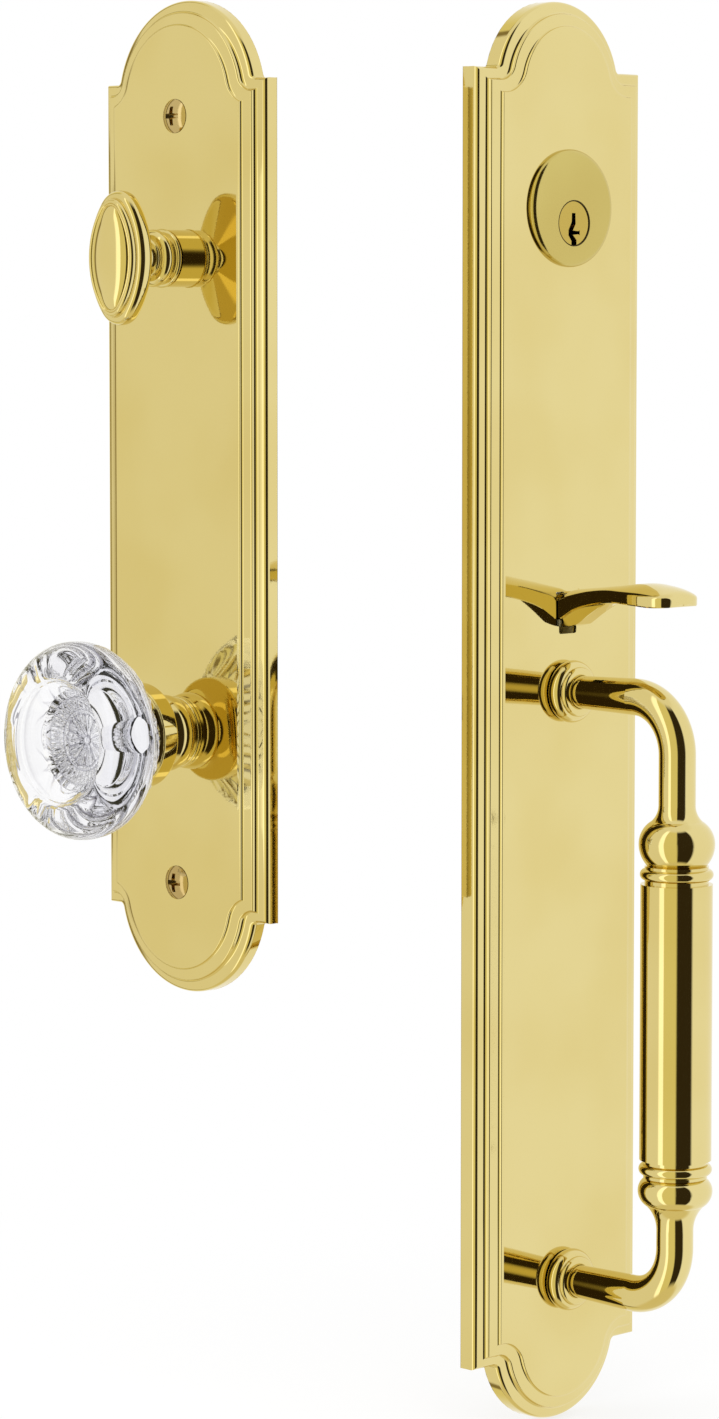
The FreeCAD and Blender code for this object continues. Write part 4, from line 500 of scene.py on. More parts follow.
def crystal_cut(along, radius, turn):
    """Return how deep the cutting goes on the back of the crystal and how strong the painted shade along its
    cuts is.
    """
    pitch = math.pi / 3.0
    off = (turn + pitch / 2.0) % pitch - pitch / 2.0
    across = off * radius
    width = 9.2 * radius / 21.5
    way = along - 10.6
    oval = math.hypot(across / width, way / 9.6)
    inner = math.hypot(across / (0.66 * width), (way + 0.4) / 6.9)
    lens = abs(across) / 3.1 + (way / 5.6) ** 2
    edge = abs(oval - 1.0) * 8.0
    ring = abs(inner - 1.0) * 5.6
    seam = abs(lens - 1.0) * 2.6
    depth = 0.55 * bell(edge, 0.9) + 0.40 * bell(ring, 0.7) + 0.30 * bell(seam, 0.55)
    # The second value is the strength of the painted shade along the cut edges, not a mark in the glass
    painted_shade_lines = 0.9 * bell(edge, 0.42) + 0.7 * bell(ring, 0.34) + 0.55 * bell(seam, 0.30)
    if inner < 1.0:
        hollow = 0.5 * (1.0 - inner ** 2)
        depth += hollow if lens > 1.0 else hollow - 0.15
    elif oval < 1.0:
        depth += 0.25 * (1.0 + math.cos(math.pi * (oval - inner)))
    if oval > 1.0:
        side = abs(abs(across) - pitch * radius / 2.0)
        gem = side / 3.4 + abs(way) / 8.5
        within = 1.0 if gem < 1.0 else 0.0
        depth += 0.7 * min(gem, 1.0)
        painted_shade_lines += 0.8 * bell((gem - 1.0) * 3.4, 0.35) + 0.6 * bell(side, 0.3) * within
        painted_shade_lines += 0.5 * bell(way, 0.3) * within
    fade = min(1.0, max(0.0, (20.5 - along) / 4.0)) * min(1.0, max(0.0, along / 1.5))
    return depth * fade, min(1.0, painted_shade_lines) * fade


def rosette_cut(radius, turn):
    """Return the depth of the rosette moulded in the crystal's well and the strength of its painted shade."""
    half = math.pi / 10.0
    off = (turn + half) % (2.0 * half) - half
    across = off * radius
    edge = radius * half - abs(across)
    tip = 7.1 + 0.7 * math.cos(off * 5.0)
    if radius < tip + 0.8:
        depth = 0.45 * bell(edge, 0.5) + 0.3 * bell(radius - tip, 0.4) + 0.25 * bell(across, 0.3)
        painted_shade_lines = 0.8 * bell(edge, 0.22) + 0.9 * bell(radius - tip, 0.26) + 0.3 * bell(across, 0.16)
        if radius < 1.5:
            depth, painted_shade_lines = 0.2 * bell(radius - 1.1, 0.3), 0.9 * bell(radius - 1.1, 0.22)
        return depth, min(1.0, painted_shade_lines)
    notch = math.cos(turn * 44.0)
    band = bell(radius - 10.7, 1.4)
    near, far = radius - 8.9, radius - 13.0
    depth = 0.28 * band * notch + 0.4 * bell(near, 0.3) + 0.4 * bell(far, 0.35)
    painted_shade_lines = 0.6 * band * max(0.0, notch) ** 2 + 0.8 * bell(near, 0.2) + 0.7 * bell(far, 0.22)
    return depth, min(1.0, painted_shade_lines)


def crystal_rows():
    """List the crystal's rings: radius, height, the way that the cutting goes in, and its pattern."""
    root = [(0.0, 23.8), (3.05, 23.8), (3.05, 14.65), (13.3, 14.65), (13.55, 14.9), (13.6, 18.9)]
    rows = [(radius, height, 0.0, 0.0, None) for radius, height in root]
    cone_run, cone_rise, cone_steps = 12.0, 10.2, 45
    cone = math.hypot(cone_run, cone_rise)
    for step in range(1, cone_steps + 1):
        t = step / cone_steps
        rows.append((13.6 + cone_run * t, 19.0 + cone_rise * t, -cone_rise / cone, cone_run / cone,
                     ("back", cone * t)))
    belly, belly_centre, belly_height, belly_steps = 14.2, 14.7, 38.3, 26
    for step in range(1, belly_steps + 1):
        height = 29.2 + 9.1 * step / belly_steps
        radius = belly_centre + math.sqrt(belly ** 2 - (belly_height - height) ** 2)
        rows.append((radius, height, -(radius - belly_centre) / belly, (belly_height - height) / belly,
                     ("back", cone + 9.7 * step / belly_steps)))
    for radius, height, _ in arc((20.7, 38.3), 8.2, 4.0, 100.0, 36):
        rows.append((radius, height, 0.0, 0.0, None))
    for radius, height in eased([(19.3, 46.38), (18.3, 46.05, 0.5), (17.95, 45.2, 0.3), (17.45, 45.0, 0.3),
                                 (14.6, 39.7, 0.5), (13.9, 39.2)], steps=5)[1:]:
        rows.append((radius, height, 0.0, 0.0, None))
    well, well_floor, bowl, well_steps = 13.8, 35.0, 25.6, 45
    for step in range(well_steps, 0, -1):
        radius = well * step / well_steps
        height = well_floor + bowl - math.sqrt(bowl ** 2 - radius ** 2)
        rows.append((radius, height, 0.0, -1.0, ("well", radius)))
    rows.append((0.0, well_floor, 0.0, 0.0, None))
    return rows


def crystal_knob():
    """Cut the crystal: a clear rounded rim round a well, with petals behind and a rosette in the well."""
    steps = 360
    rings = []
    marks = []
    for radius, height, in_radius, in_height, pattern in crystal_rows():
        ring = []
        for step in range(steps):
            turn = 2.0 * math.pi * step / steps
            depth, line = 0.0, 0.0
            if pattern and pattern[0] == "back":
                depth, line = crystal_cut(pattern[1], radius, turn)
            elif pattern:
                depth, line = rosette_cut(pattern[1], turn)
            reach = radius + in_radius * depth
            ring.append((reach * math.cos(turn), reach * math.sin(turn), height + in_height * depth))
            # Here the marks are the strength of the painted shade along the cuts
            marks.append(line)
        rings.append(ring)
    points, faces = skin(rings)

    def put(x, y, z):
        return inside(x, KNOB_Y + y, INSIDE_RISE + z)

    def own_place(spot):
        """Read a spot in the scene as across, up and out from where the knob's axis leaves the plate."""
        return (
            INSIDE_MIDDLE_Y - spot.y / MM, spot.z / MM - KNOB_Y, INSIDE_BACK_X - spot.x / MM - INSIDE_RISE,
        )

    def key(spot):
        """Round a spot, so that a vertex of the mesh finds the mark of the point that made it."""
        return tuple(round(value * 200.0) for value in spot)

    marked = {key(point): mark for point, mark in zip(points, marks)}
    knob = closed_mesh("crystal", points, faces, put, 40.0)
    # Each vertex keeps the strength of the painted shade along the cuts, read by the crystal's and the foil's
    # colour
    painted_shade_lines = knob.data.attributes.new("cut_lines", "FLOAT", "POINT")
    for vertex, stored in zip(knob.data.vertices, painted_shade_lines.data):
        stored.value = marked.get(key(own_place(vertex.co)), 0.0)
    finish_piece(knob, CRYSTAL, "knob", "crystal", "crystal_knob")
    knob.data.materials.append(SILVERED)
    cone_top, bolt_bore, bore_top = 29.1, 3.2, 23.9
    for face in knob.data.polygons:
        across, up, out = own_place(face.center)
        radius = math.hypot(across, up)
        if out < cone_top and radius > bolt_bore or radius < bolt_bore and out < bore_top:
            face.material_index = 1


crystal_knob()


# Thumb latch

def thumb_latch():
    """Shape the thumb latch: a crowned leaf that runs back through the plate to its tail."""
    face = OUTSIDE_RISE
    reach = 46.5

    def at(part):
        return face + part * reach

    tail = -12.4
    half_widths = [
        (tail, 3.0), (1.2, 3.0), (2.8, 4.6), (face, 4.6), (at(0.14), 4.9), (at(0.28), 5.3),
        (at(0.48), 6.7), (at(0.64), 8.4), (at(0.78), 9.3), (at(0.88), 9.1), (at(0.94), 8.0),
        (at(0.975), 6.0), (at(0.993), 3.8), (at(1.0), 1.8),
    ]
    edges = [
        (tail, -0.5), (0.2, -0.8), (3.2, 2.2), (5.1, 2.6), (face, 2.0), (at(0.03), 2.0),
        (at(0.14), 3.6), (at(0.28), 5.0), (at(0.48), 5.8), (at(0.72), 5.3), (at(0.86), 4.8),
        (at(0.96), 4.4), (at(0.985), 4.15), (at(1.0), 3.4),
    ]
    crowns = [
        (tail, 0.0), (2.2, 0.0), (5.1, 0.9), (face, 1.8), (at(0.06), 2.3), (at(0.14), 1.7), (at(0.28), 1.0),
        (at(0.48), 1.2), (at(0.72), 2.9), (at(0.86), 2.8), (at(0.95), 2.0), (at(0.985), 1.1), (at(1.0), 0.3),
    ]
    undersides = [
        (tail, -4.3), (0.2, -4.7), (5.1, -3.6), (face, -3.8), (at(0.03), -3.6), (at(0.14), -0.9),
        (at(0.28), 0.9), (at(0.48), 2.2), (at(0.72), 2.0), (at(0.86), 1.7), (at(0.96), 1.8), (at(0.985), 2.0),
        (at(1.0), 2.7),
    ]
    keels = [
        (tail, -4.3), (0.2, -4.7), (5.1, -3.8), (face + 0.3, -4.2), (face + 0.6, -5.9), (at(0.13), -5.2),
        (at(0.15), -4.8), (at(0.25), -1.9), (at(0.355), 0.8), (at(0.42), 2.0), (at(0.6), 2.2), (at(1.0), 2.3),
    ]
    ribs = [
        (tail, 2.3), (1.2, 2.3), (face, 3.0), (at(0.12), 3.0), (at(0.25), 2.8), (at(0.42), 2.6),
        (at(1.0), 0.6),
    ]
    places = [tail + 0.8 * step for step in range(27)]
    places += [face + 0.3, face + 0.6, at(0.13), at(0.15)]
    places += [face + reach * step / 90 for step in range(91)]
    places += [face + reach * (0.92 + 0.08 * step / 16) for step in range(17)]
    crown_steps, flank_steps, flat_steps = 24, 8, 4
    rings = []
    for z in sorted(place for place in set(places) if place <= at(1.0)):
        wide = max(smooth(z, half_widths), 0.4)
        edge, crown, base = smooth(z, edges), smooth(z, crowns), smooth(z, undersides)
        keel = min(smooth(z, keels), base)
        ring = []
        for step in range(crown_steps + 1):
            x = -wide + 2.0 * wide * step / crown_steps
            ring.append((x, edge + crown * (1.0 - (x / wide) ** 2) ** 0.85 if abs(x) < wide else edge, z))
        broken = min(0.35, 0.2 * (edge - base))
        ring[0] = (-wide + 0.5 * broken, edge + 0.05, z)
        ring[crown_steps] = (wide - 0.5 * broken, edge + 0.05, z)
        side = [(wide, edge - broken), (wide, base + broken), (wide - broken, base)]
        foot = min(smooth(z, ribs), 0.8 * (wide - broken))
        root = foot + 0.12 * (wide - broken)
        for step in range(1, flat_steps):
            side.append((wide - broken + (root - wide + broken) * step / flat_steps, base))
        for step in range(flank_steps + 1):
            t = step / flank_steps
            side.append((root + (foot - root) * t, base + (keel - base) * t * t * (3.0 - 2.0 * t)))
        for step in range(1, flat_steps):
            side.append((foot * (1.0 - step / flat_steps), keel))
        right = [(x, y, z) for x, y in side]
        left = [(-x, y, z) for x, y, z in reversed(right)]
        rings.append(ring + right + [(0.0, keel, z)] + left)
    points, faces = skin(rings)

    def put(x, y, z):
        return outside(x, THUMB_Y + y, z)

    leaf = closed_mesh("thumb_leaf", points, faces, put, 38.0)
    pin_radius, pin_out = 1.56, 4.6
    pin_way = lathe("pin_way", [(0.0, -8.0), (pin_radius, -8.0), (pin_radius, 8.0), (0.0, 8.0)],
                    lambda x, y, z: outside(z, THUMB_Y + y, pin_out + x), steps=48)
    cut(leaf, pin_way)
    finish_piece(leaf, POLISHED_BRASS, "thumb", "polished_brass", "thumb_latch")


thumb_latch()


# Turn

def oval_ring(half_height, half_width, end_radius, steps=STEPS):
    """Return an upright oval of four arcs, with its points spread by angle."""
    rise = half_height - end_radius
    side = (rise ** 2 + half_width ** 2 - end_radius ** 2) / (2.0 * (half_width - end_radius))
    ring = []
    for step in range(steps):
        turn = 2.0 * math.pi * step / steps
        x, y = abs(math.cos(turn)), abs(math.sin(turn))
        reach = y * rise + math.sqrt(max(end_radius ** 2 - (x * rise) ** 2, 0.0))
        joint = rise * (1.0 + end_radius / (side - end_radius))
        if reach * y < joint:
            centre = -(side - half_width)
            reach = x * centre + math.sqrt(side ** 2 - (y * centre) ** 2)
        ring.append((math.copysign(reach * x, math.cos(turn)), math.copysign(reach * y, math.sin(turn))))
    return ring


def turn_knob():
    """Turn the stem, flare it into the oval grip and crown the grip with a stepped dome."""
    stem = eased([
        (0.0, -12.5), (4.0, -12.5), (4.0, -6.3), (3.2, -6.3), (3.2, -5.4), (4.0, -5.4), (4.0, 4.62),
        (8.2, 4.62, 0.5), (8.75, 5.35, 0.5), (8.2, 6.1, 0.4), (7.2, 6.15, 0.2), (7.9, 7.2, 0.6),
        (8.5, 8.6, 0.9), (8.1, 9.9, 0.9), (7.0, 10.9, 0.4), (5.6, 11.0, 0.2), (6.1, 11.6, 0.4),
        (5.5, 12.3, 0.3), (4.6, 12.5, 0.3), (4.4, 13.4, 0.4),
    ], 0.15, 5)
    rings = [circle_ring(radius, height) for radius, height in stem]
    neck = circle_ring(4.4, 0.0)
    shoulder = oval_ring(17.8, 10.5, 6.3)
    flare_steps, dome_steps = 24, 18
    for step in range(1, flare_steps + 1):
        t = step / flare_steps
        part = t ** 1.45
        rings.append([
            (a[0] + (b[0] - a[0]) * part, a[1] + (b[1] - a[1]) * part, 14.0 + 5.0 * t)
            for a, b in zip(neck, shoulder)
        ])
    edge = eased([
        (1.7, 19.0), (1.0, 19.0, 0.7), (0.0, 19.9, 0.9), (0.0, 22.2, 1.3), (0.9, 23.6, 1.0),
        (2.0, 23.9, 0.3), (2.35, 23.75, 0.2), (2.5, 24.9, 0.5), (3.0, 25.5, 0.5), (3.6, 25.45, 0.4),
        (3.95, 24.95, 0.35), (4.3, 25.1),
    ], 0.3, 6)
    for inset, height in edge[1:]:
        rings.append([(x, y, height) for x, y in oval_ring(19.5 - inset, 12.2 - inset, 8.0 - inset)])
    rim = oval_ring(15.2, 7.9, 3.7)
    for step in range(1, dome_steps + 1):
        part = math.cos(math.pi / 2.0 * step / dome_steps)
        height = 25.1 + 2.7 * (1.0 - part ** 2) ** 0.62
        rings.append([(x * part, y * part, height) for x, y in rim])
    points, faces = skin(rings)

    def put(x, y, z):
        return inside(x, TURN_Y + y, INSIDE_RISE + z)

    knob = closed_mesh("turn_grip", points, faces, put, 32.0)
    slot = [(x, y, z) for z in (-13.5, -7.5) for x, y in ((-1.1, -5.0), (1.1, -5.0), (1.1, 5.0), (-1.1, 5.0))]
    slot_points, slot_faces = skin([slot[:4], slot[4:]])
    cut(knob, closed_mesh("turn_slot", slot_points, slot_faces, put))
    finish_piece(knob, POLISHED_BRASS, "turn", "polished_brass", "turn_knob")


turn_knob()


# Collars on the grip's posts

def post_collar(name, post_y, node):
    """Turn the fat bead and the ring that stand round a grip post."""
    profile = [(4.9, 0.0), (7.3, 0.0, 0.1), (7.6, 0.35, 0.1)]
    profile += arc((6.6, 2.1), 2.65, -40.0, 62.0, 14)
    profile += [(7.3, 4.5, 0.15), (7.35, 5.0, 0.3), (6.9, 5.7, 0.4), (5.6, 5.95, 0.4), (4.9, 5.8)]
    profile += [(4.9, 3.0, 0.0), (4.9, 0.0)]

    def put(x, y, z):
        return outside(x, post_y + y, OUTSIDE_RISE + z)

    turned = eased(profile, 0.15, 4)
    rings = [circle_ring(radius, height) for radius, height in turned]
    points, faces = skin(rings)
    collar = closed_mesh(name, points, faces[:-2], put, 32.0)
    finish_piece(collar, POLISHED_BRASS, "plates", "polished_brass", node)


post_collar("upper_collar", UPPER_POST_Y, "upper_post_collar")
post_collar("lower_collar", LOWER_POST_Y, "lower_post_collar")


# Faces of the plates

def outline_ring(inset, top, bottom, arch, drop):
    """Return a plate's outline, drawn in by the inset: straight sides, ledges, fillets and two arches."""
    fillet_x = math.sqrt((arch + LEDGE_FILLET) ** 2 - (drop + LEDGE_FILLET) ** 2)
    side = PLATE_HALF_WIDTH - inset
    swing = LEDGE_FILLET + inset
    start = -90.0
    if side < fillet_x:
        start = -math.degrees(math.acos(min(1.0, (fillet_x - side) / swing)))
    end = -math.degrees(math.atan2(drop + LEDGE_FILLET, fillet_x))
    start = min(start, end)
    opening = math.radians(start)
    first = (-fillet_x + swing * math.cos(opening), LEDGE_FILLET + swing * math.sin(opening))
    ledge = first[1] if side < fillet_x else -inset
    left = [(-side, ledge), ((-side + first[0]) / 2.0, ledge)]
    fillet_steps, arch_steps, side_steps = 14, 64, 9
    for step in range(fillet_steps + 1):
        turn = math.radians(start + (end - start) * step / fillet_steps)
        left.append((-fillet_x + swing * math.cos(turn), LEDGE_FILLET + swing * math.sin(turn)))
    meet = 180.0 + end
    crown = []
    for step in range(1, arch_steps):
        turn = math.radians(meet + (-end - meet) * step / arch_steps)
        crown.append(((arch - inset) * math.cos(turn), (arch - inset) * math.sin(turn) - drop))
    upper = left + crown + [(-x, y) for x, y in reversed(left)]
    ring = [(x, top + y) for x, y in upper]
    high, low = ring[-1][1], bottom - upper[0][1]
    ring += [(side, high + (low - high) * step / side_steps) for step in range(1, side_steps)]
    ring += [(-x, bottom - y) for x, y in upper]
    ring += [(-side, low + (high - low) * step / side_steps) for step in range(1, side_steps)]
    return ring


def plate_face(name, place, rise, top, bottom, arch, drop, holes):
    """Lay the polished face over a plate: a tall side, two tilted treads between risers, and the flat."""
    wall = rise - 4.9
    flat = rise + 0.03
    profile = eased([
        (0.045, 0.05), (0.045, wall, 0.5), (0.6, wall + 1.0, 0.8),
        *arc((2.45, wall + 2.85), 1.3, -80.0, -6.0, 9), (3.85, wall + 3.2, 0.6),
        *arc((6.6, wall + 4.55), 0.8, -80.0, -8.0, 7), (7.45, wall + 4.7, 0.35),
        (8.4, flat, 0.0), (8.6, flat),
    ], 0.4, 7)
    back = [(8.6, rise - 0.5), (4.8, wall + 0.6), (0.7, 1.0), (0.5, 0.05)]
    rings = []
    for inset, z in profile + back:
        rings.append([(x, y, z) for x, y in outline_ring(inset, top, bottom, arch, drop)])
    points, faces = skin(rings)
    count = len(rings[0])
    front = (len(profile) - 1) * count
    faces = [face for face in faces[:-2] if not (min(face) < front + count and max(face) >= front + count)]
    faces.append(tuple(front + step for step in range(count)))
    faces.append(tuple(front + count + step for step in range(count)))
    last = (len(rings) - 1) * count
    for step in range(count):
        after = (step + 1) % count
        faces.append((step, after, last + after, last + step))
    shell = closed_mesh(name, points, faces, place, 26.0)
    for hole in holes:
        cut(shell, hole)
    out = (place(0.0, 0.0, 1.0) - place(0.0, 0.0, 0.0)).normalized()
    level = out.dot(place(0.0, 0.0, flat))
    for face in shell.data.polygons:
        if abs(face.normal.dot(out)) > 0.9999 and abs(out.dot(face.center) - level) < 0.0006:
            face.use_smooth = False
    finish_piece(shell, POLISHED_BRASS, "plates", "polished_brass")


# How far the tools that open a face reach, from under the plate to above it
HOLE_LOW, HOLE_HIGH = -1.0, 20.0


def round_hole(radius, y, place):
    """Make the tool for a round hole through a face."""
    profile = [(0.0, HOLE_LOW), (radius, HOLE_LOW), (radius, HOLE_HIGH), (0.0, HOLE_HIGH)]
    return lathe("hole", profile, lambda across, up, z: place(across, y + up, z), steps=96)


def slot_hole(half_width, low, high, place):
    """Make the tool for one arm of the thumb latch's slot, with rounded corners."""
    corner = 0.8
    ring = []
    for x, y, start in (
        (half_width - corner, high - corner, 0.0), (corner - half_width, high - corner, 90.0),
        (corner - half_width, low + corner, 180.0), (half_width - corner, low + corner, 270.0),
    ):
        for step in range(5):
            turn = math.radians(start + 90.0 * step / 4)
            ring.append((x + corner * math.cos(turn), y + corner * math.sin(turn)))
    points, faces = skin([[(x, y, z) for x, y in ring] for z in (HOLE_LOW, HOLE_HIGH)])
    return closed_mesh("slot", points, faces, place)


plate_face("outside_face", outside, OUTSIDE_RISE, 40.5, -341.5, 26.0, 6.0, [
    round_hole(15.6, 0.0, outside), slot_hole(5.05, THUMB_Y - 5.95, THUMB_Y + 5.0, outside),
    slot_hole(3.75, THUMB_Y - 8.25, THUMB_Y + 1.0, outside),
])
plate_face("inside_face", inside, INSIDE_RISE, 37.2, -208.8, 30.0, 6.4, [
    round_hole(6.9, TURN_Y, inside), round_hole(9.85, KNOB_Y, inside),
    round_hole(5.1, UPPER_SCREW_Y, inside), round_hole(5.1, LOWER_SCREW_Y, inside),
])


# The CAD plates carry the hollow backs. A modifier draws their skin in, so that the polished faces lie over
# it; a merged copy that replaces each node would be better

for plate_node in ("exterior_plate", "interior_plate"):
    drawn_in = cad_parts[plate_node].modifiers.new("drawn_in", "DISPLACE")
    drawn_in.mid_level = 0.0
    drawn_in.strength = -0.1 * MM


# Lock face

def flat_faces(piece, way):
    """Shade the faces that look straight along a way as flat."""
    for face in piece.data.polygons:
        if face.normal.dot(way) > 0.99995:
            face.use_smooth = False


def lock_face():
    """Turn the rounded collar of the lock, open round the plug, and a dark ring of painted shade in the gap
    there.
    """
    rim = [(15.1 + 2.15 * math.cos(math.radians(angle)), 0.35 + 1.77 * math.sin(math.radians(angle)))
           for angle in range(0, 91, 5)]
    collar = lathe("lock_collar", [(0.0, 0.6), (16.6, 0.6), (17.25, 0.02)] + rim + [(0.0, 2.12)],
                   lambda x, y, z: outside(x, y, OUTSIDE_RISE + z), 32.0)

    def at_plug(x, y, z):
        return outside(x, PLUG_Y + y, OUTSIDE_RISE + z)

    cut(collar, lathe("plug_way", [(0.0, -1.0), (6.8, -1.0), (6.8, 4.0), (0.0, 4.0)], at_plug))
    # A thin dark ring stands in the gap between plug and collar as painted shade
    gap = [(6.43, 1.7), (6.78, 1.7), (6.78, 2.06), (6.43, 2.06), (6.43, 1.7)]
    points, faces = skin([circle_ring(radius, height) for radius, height in gap])
    painted_shade_ring = closed_mesh("plug_gap_painted_shade", points, faces[:-2], at_plug)
    finish_piece(painted_shade_ring, PAINTED_SHADE_GAP, "plates", "lock_brass")
    flat_faces(collar, Vector((0.0, -1.0, 0.0)))
    finish_piece(collar, LOCK_BRASS, "plates", "lock_brass")


lock_face()


# Node trees for what winds or repeats

def start_tree(name, inputs):
    """Start a tree with named inputs; return a function that adds nodes, the inputs and their identifiers."""
    tree = bpy.data.node_groups.new(name, "GeometryNodeTree")
    kinds = {
        type(None): "Geometry", int: "Int", float: "Float", tuple: "Vector", bpy.types.Material: "Material",
    }
    sockets = {}
    for label, given in inputs.items():
        made = tree.interface.new_socket(label, in_out="INPUT", socket_type="NodeSocket" + kinds[type(given)])
        sockets[made.identifier] = given
    tree.interface.new_socket("Result", in_out="OUTPUT", socket_type="NodeSocketGeometry")

    def add(kind, links=None, **settings):
        node = tree.nodes.new(kind)
        for name, setting in settings.items():
            setattr(node, name, setting)
        for name, source in (links or {}).items():
            if isinstance(source, bpy.types.NodeSocket):
                tree.links.new(source, node.inputs[name])
            else:
                node.inputs[name].default_value = source
        return node

    return tree, sockets, add, add("NodeGroupInput").outputs


def end_tree(tree, add, shape, finish):
    """Close a tree: make its instances real and give them their finish."""
    plain = add("GeometryNodeRealizeInstances", {"Geometry": shape.outputs[0]})
    finished = add("GeometryNodeSetMaterial", {"Geometry": plain.outputs[0], "Material": finish})
    tree.links.new(finished.outputs[0], add("NodeGroupOutput").inputs[0])


def grow(piece, tree, sockets, put):
    """Run a tree on a piece and keep its result as the piece's plain mesh, put in the scene's frame."""
    growth = piece.modifiers.new(tree.name, "NODES")
    growth.node_group = tree
    for identifier, given in sockets.items():
        if given is not None:
            growth[identifier] = given
    bpy.context.view_layer.update()
    made = bpy.data.meshes.new_from_object(piece.evaluated_get(bpy.context.evaluated_depsgraph_get()))
    piece.modifiers.clear()
    for vertex in made.vertices:
        vertex.co = put(*vertex.co)
    made.name = piece.name
    piece.data = made
    made.shade_smooth()
    made.set_sharp_from_angle(angle=math.radians(32.0))


def return_spring():
    """Wind the thumb latch's return spring, with coils that close up at both ends."""
    tree, sockets, add, given = start_tree("return_spring", {
        "Base": None, "Coil radius": 2.05, "Wire radius": 0.35, "Height": 11.65, "Turns": 7.0,
        "Closing": 1.018, "Finish": SPRING_STEEL,
    })
    coil = add("GeometryNodeCurveSpiral", {
        "Resolution": 32, "Rotations": given["Turns"], "Start Radius": given["Coil radius"],
        "End Radius": given["Coil radius"], "Height": given["Height"],
    })
    along = add("GeometryNodeSplineParameter")
    angle = add("ShaderNodeMath", {0: along.outputs["Factor"], 1: 2.0 * math.pi}, operation="MULTIPLY")
    wave = add("ShaderNodeMath", {0: angle.outputs[0]}, operation="SINE")
    drop = add("ShaderNodeMath", {0: wave.outputs[0], 1: given["Closing"]}, operation="MULTIPLY")
    lift = add("ShaderNodeMath", {0: 0.0, 1: drop.outputs[0]}, operation="SUBTRACT")
    offset = add("ShaderNodeCombineXYZ", {"Z": lift.outputs[0]})
    closed = add("GeometryNodeSetPosition", {"Geometry": coil.outputs[0], "Offset": offset.outputs[0]})
    wire = add("GeometryNodeCurvePrimitiveCircle", {"Resolution": 12, "Radius": given["Wire radius"]})
    wound = add("GeometryNodeCurveToMesh", {
        "Curve": closed.outputs[0], "Profile Curve": wire.outputs[0], "Fill Caps": True,
    })
    end_tree(tree, add, wound, given["Finish"])
    base = bpy.data.objects.new("return_coil", bpy.data.meshes.new("return_coil"))
    bpy.context.collection.objects.link(base)
    grow(base, tree, sockets, lambda x, y, z: Vector((x, 4.6 + y, z - 115.3)) * MM)
    finish_piece(base, SPRING_STEEL, "plates", "steel", "thumb_return_spring")
    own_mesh(base)


# Screws of the inside plate

def screw_tree():
    """Build the tree that winds a thread on a turned screw and repeats the screw down the plate."""
    tree, sockets, add, given = start_tree("wood_screws", {
        "Screw": None, "Thread radius": 2.35, "Thread length": 11.4, "Thread turns": 7.0, "Point length": 4.6,
        "Point turns": 3.0, "Wire radius": 0.3, "Start": (0.0, 0.0, -9.0), "Point": (0.0, 0.0, -20.4),
        "Screws": 2, "Spacing": (0.0, LOWER_SCREW_Y - UPPER_SCREW_Y, 0.0), "Finish": SCREW_BRASS,
    })
    wire = add("GeometryNodeCurvePrimitiveCircle", {"Resolution": 8, "Radius": given["Wire radius"]})
    downwards = add("ShaderNodeMath", {0: given["Thread length"], 1: -1.0}, operation="MULTIPLY")
    tapering = add("ShaderNodeMath", {0: given["Point length"], 1: -1.0}, operation="MULTIPLY")
    joined = add("GeometryNodeJoinGeometry")
    for turns, end_radius, drop, start in (
        ("Thread turns", given["Thread radius"], downwards, "Start"),
        ("Point turns", 0.35, tapering, "Point"),
    ):
        helix = add("GeometryNodeCurveSpiral", {
            "Resolution": 32, "Rotations": given[turns], "Start Radius": given["Thread radius"],
            "End Radius": end_radius, "Height": drop.outputs[0],
        })
        thread = add("GeometryNodeCurveToMesh", {
            "Curve": helix.outputs[0], "Profile Curve": wire.outputs[0], "Fill Caps": True,
        })
        moved = add("GeometryNodeTransform", {"Geometry": thread.outputs[0], "Translation": given[start]})
        tree.links.new(moved.outputs[0], joined.inputs[0])
    tree.links.new(given["Screw"], joined.inputs[0])
    places = add("GeometryNodeMeshLine", {"Count": given["Screws"], "Offset": given["Spacing"]})
    copies = add("GeometryNodeInstanceOnPoints", {"Points": places.outputs[0], "Instance": joined.outputs[0]})
    end_tree(tree, add, copies, given["Finish"])
    return tree, sockets


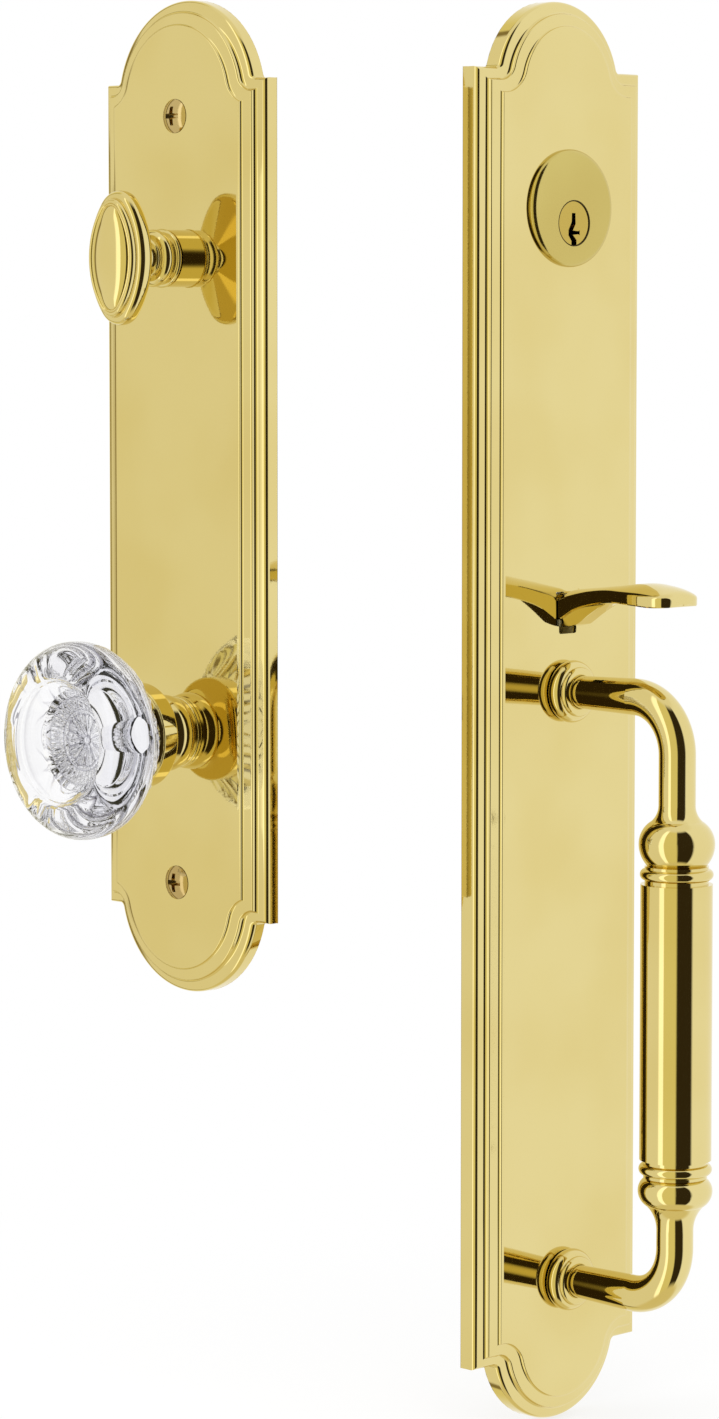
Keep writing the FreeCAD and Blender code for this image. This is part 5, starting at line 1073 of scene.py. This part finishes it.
def plate_screws():
    """Turn one oval head wood screw, sink its cross and let the tree thread and repeat it."""
    head, crown, opening = 4.9, 1.5, 48
    rim_sine, rim_cosine = math.sin(math.radians(opening)), math.cos(math.radians(opening))
    dome = []
    for angle in range(opening, -1, -3):
        turn = math.radians(angle)
        height = 0.12 + crown * (math.cos(turn) - rim_cosine) / (1.0 - rim_cosine)
        dome.append((head * math.sin(turn) / rim_sine, height))
    screw = lathe("plate_screws", [
        (0.0, -25.2), (0.35, -24.8), (2.2, -20.4), (2.2, -8.7), (2.1, -8.6), (2.1, -2.6), (head, 0.0),
    ] + dome, lambda x, y, z: Vector((x, y, z)), 32.0, 96)
    arm = [(-0.66, -2.75), (0.66, -2.75), (0.74, -0.74), (2.75, -0.66), (2.75, 0.66), (0.74, 0.74),
           (0.66, 2.75), (-0.66, 2.75), (-0.74, 0.74), (-2.75, 0.66), (-2.75, -0.66), (-0.74, -0.74)]
    levels = [(0.42, -0.6), (1.0, 1.2), (1.12, 2.4)]
    points, faces = skin([[(x * part, y * part, z) for x, y in arm] for part, z in levels])
    cut(screw, closed_mesh("cross", points, faces, lambda x, y, z: Vector((x, y, z))))
    tree, sockets = screw_tree()
    grow(screw, tree, sockets, lambda x, y, z: inside(x, UPPER_SCREW_Y + y, INSIDE_RISE + z))
    finish_piece(screw, SCREW_BRASS, "plates", "polished_brass", "upper_plate_screw", "lower_plate_screw")


return_spring()
plate_screws()


# Finishes of the carried-over pieces

STEEL_NODES = """
    bracket_screws cam_clip cassette_case cassette_hub cassette_screws glass_bolt grip_post_screws
    grip_tie_rod knob_set_screw knob_spindle latch_bracket latch_cam latch_lifter latch_spindle
    lock_tailpiece plug_clip thumb_pivot_pin turn_clip turn_nut turn_washer
""".split()
SPRING_NODES = ["knob_return_spring", "thumb_return_spring", "pin_springs"]
LOCK_NODES = ["bolt_posts", "cylinder_nut", "cylinder_plug", "driver_pins", "key_pins", "spring_cover"]


def finish_of(node):
    """Choose the finish of a node."""
    if node in STEEL_NODES:
        return STEEL
    if node in SPRING_NODES:
        return SPRING_STEEL
    if node == "cylinder_plug":
        return PLUG_BRASS
    if node in LOCK_NODES:
        return LOCK_BRASS
    return CRYSTAL if node == "crystal_knob" else POLISHED_BRASS


for node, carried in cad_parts.items():
    for slot in carried.material_slots:
        slot.material = finish_of(node)
    if not carried.material_slots:
        carried.data.materials.append(finish_of(node))
